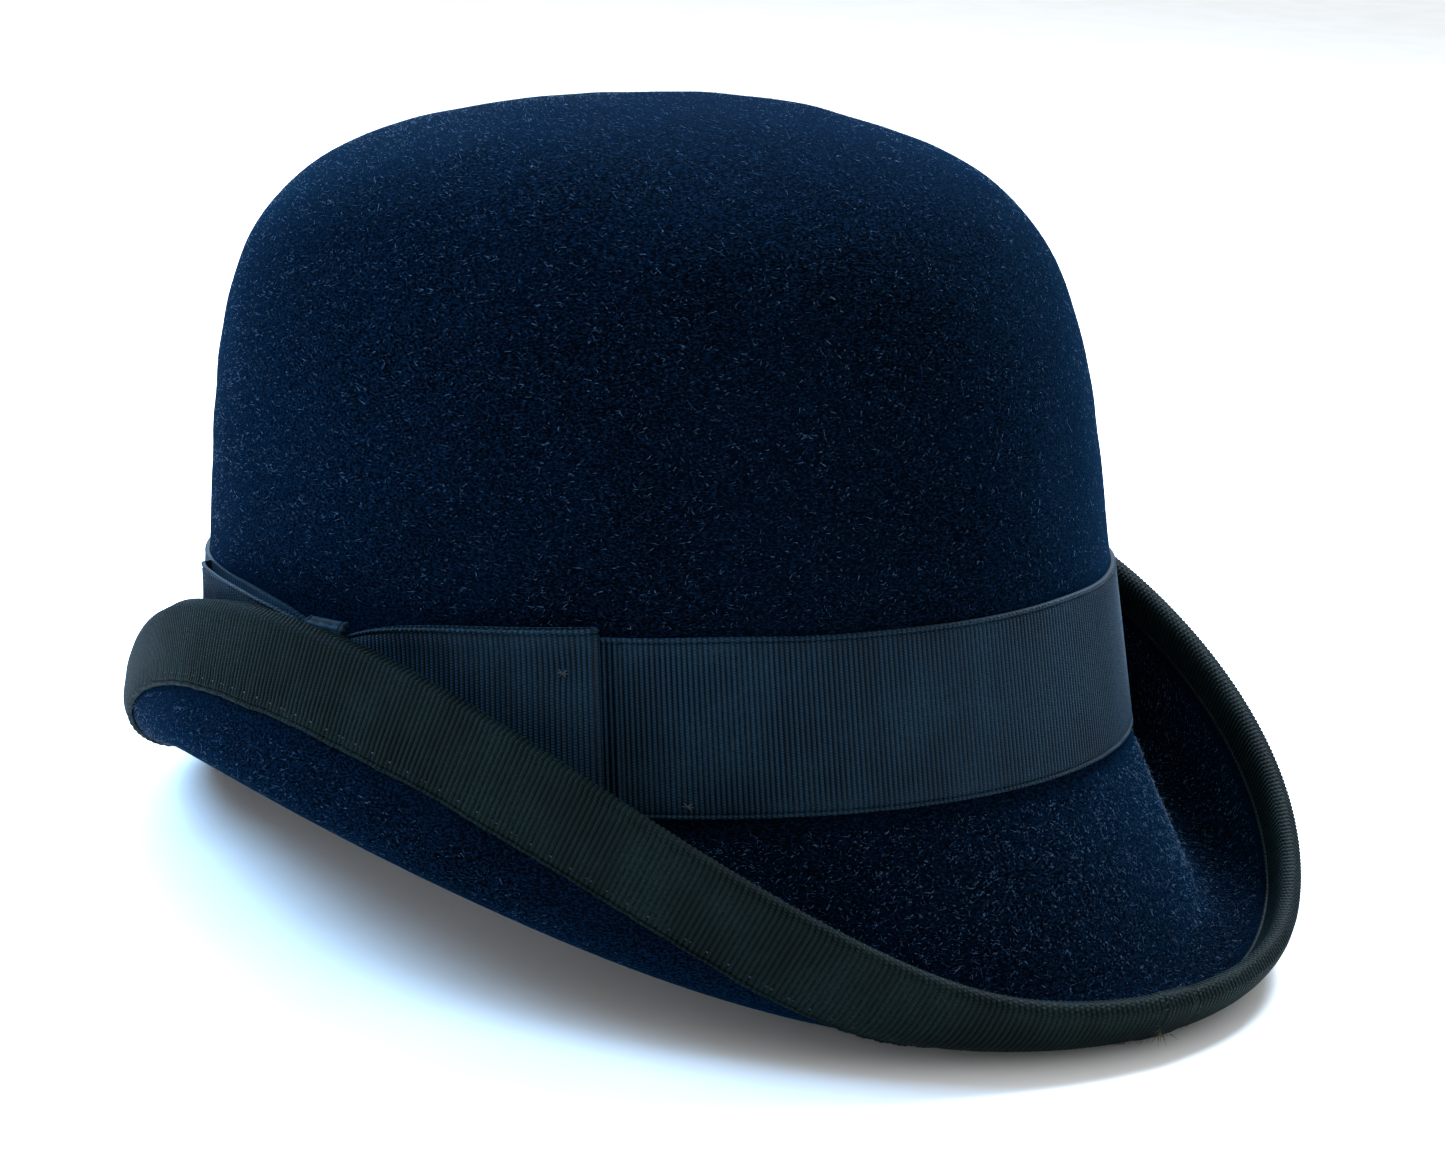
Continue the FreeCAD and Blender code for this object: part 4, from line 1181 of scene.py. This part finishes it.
def view_axes():
    """Unit vectors from the hat towards the camera, to its right and up, as the hat stands."""
    flat = math.cos(VIEW_RISE)
    back = np.array([math.sin(VIEW_TURN) * flat, -math.cos(VIEW_TURN) * flat,
                     math.sin(VIEW_RISE)])
    right = np.array([math.cos(VIEW_TURN), math.sin(VIEW_TURN), 0.0])
    up = np.cross(back, right)
    level, rise = math.cos(VIEW_ROLL), math.sin(VIEW_ROLL)
    right, up = level * right + rise * up, level * up - rise * right
    return [Vector((stand(v) - stand([0, 0, 0])) / MM) for v in (back, right, up)]


def camera():
    """The camera, set in the hatter's frame and tipped with the hat."""
    back, right, up = view_axes()
    aim = stand([VIEW_SIDE * math.cos(VIEW_TURN), VIEW_SIDE * math.sin(VIEW_TURN),
                 VIEW_LEVEL])
    lens = bpy.data.cameras.new("camera")
    lens.lens = LENS
    lens.sensor_width = SENSOR
    lens.sensor_fit = "HORIZONTAL"
    lens.clip_start = 0.01
    eye = bpy.data.objects.new("camera", lens)
    bpy.context.scene.collection.objects.link(eye)
    turned = Matrix((right, up, back)).transposed().to_4x4()
    eye.matrix_world = Matrix.Translation(Vector(aim) + back * (VIEW_AWAY * MM)) @ turned
    bpy.context.scene.camera = eye


# ------------------------------------------------------------------ the hat
def nap(finish, rows, normal):
    """Stray hairs over the felt wherever no ribbon covers it: how many, then their length and
    thickness in millimetres and their lift in degrees."""
    edge = CROWN_ROWS + BRIM_ROWS
    above_band = int((rows[:CROWN_ROWS, 0, 2] > BAND_TOP + 0.5).sum())
    for name, first, last, count, length, width, lift in (
            ("felt_nap_crown", 1, above_band, 49000, 0.8, 0.055, 16.0),
            ("felt_nap_brim", CROWN_ROWS + 1, edge - BOUND_ROWS, 48000, 0.85, 0.062, 20.0),
            ("felt_nap_under", edge + BOUND_ROWS_UNDER, edge + BRIM_ROWS, 24000, 0.7, 0.05, 14.0)):
        mesh = nap_on(name, rows, normal, first, last, count, length, width, lift)
        piece_of(mesh, finish, "velour_felt")


def make_hat():
    """Every piece, from the felt out to the ribbons and then in to the lining."""
    # In each grosgrain the first colour is painted shade between the ribs and beads, the second the
    # thread's own colour on the rib tops.
    band = grosgrain("band_grosgrain", "#010408", "#102b3c", "#4f9dc8", 0.05, 0.18, "#203c4a")
    bound = grosgrain("binding_grosgrain", "#010303", "#0c1918", "#38a8c8", 0.016, 0.08, "#1c2e2c")
    thread = sewing_thread()
    rows, normal = felt_shell(velour_felt())
    nap(nap_fibre(), rows, normal)
    hat_band(band)
    band_lap(band)
    bow_wing("bow_wing_rear", -1, REAR_WING, band, "bow_rear_wing")
    bow_wing("bow_wing_front", 1, FRONT_WING, band, "bow_front_wing")
    bow_knot(band)
    bow_tacks(thread)
    edge_binding(bound)
    binding_thread(thread)
    binding_lap(bound, thread, sewing_thread("frayed_end", "#3c3222", "#6b5a3a"))
    leather_band(sweat_leather(), thread)
    leather_bow(plain_finish("small_bow_ribbon", "#14181d", "#2a3038", 0.6, 0.5, 0.05))
    satin_lining(lining_satin(), plain_finish("piping_cord", "#5d636f", "#7d838f", 0.5, 0.4, 0.05))
    finish_cad_parts({
        "sweatband_reed": plain_finish("reed_plastic", "#c9c4b2", "#d6d2c2", 4.0, 0.3, 0.02),
        "reed_tape": plain_finish("cotton_tape", "#1c1e24", "#30343c", 0.7, 0.8, 0.08),
        "size_tab": plain_finish("label_paper", "#d9d4c6", "#e4e0d4", 1.2, 0.85, 0.03),
    })


camera()
studio()
make_hat()
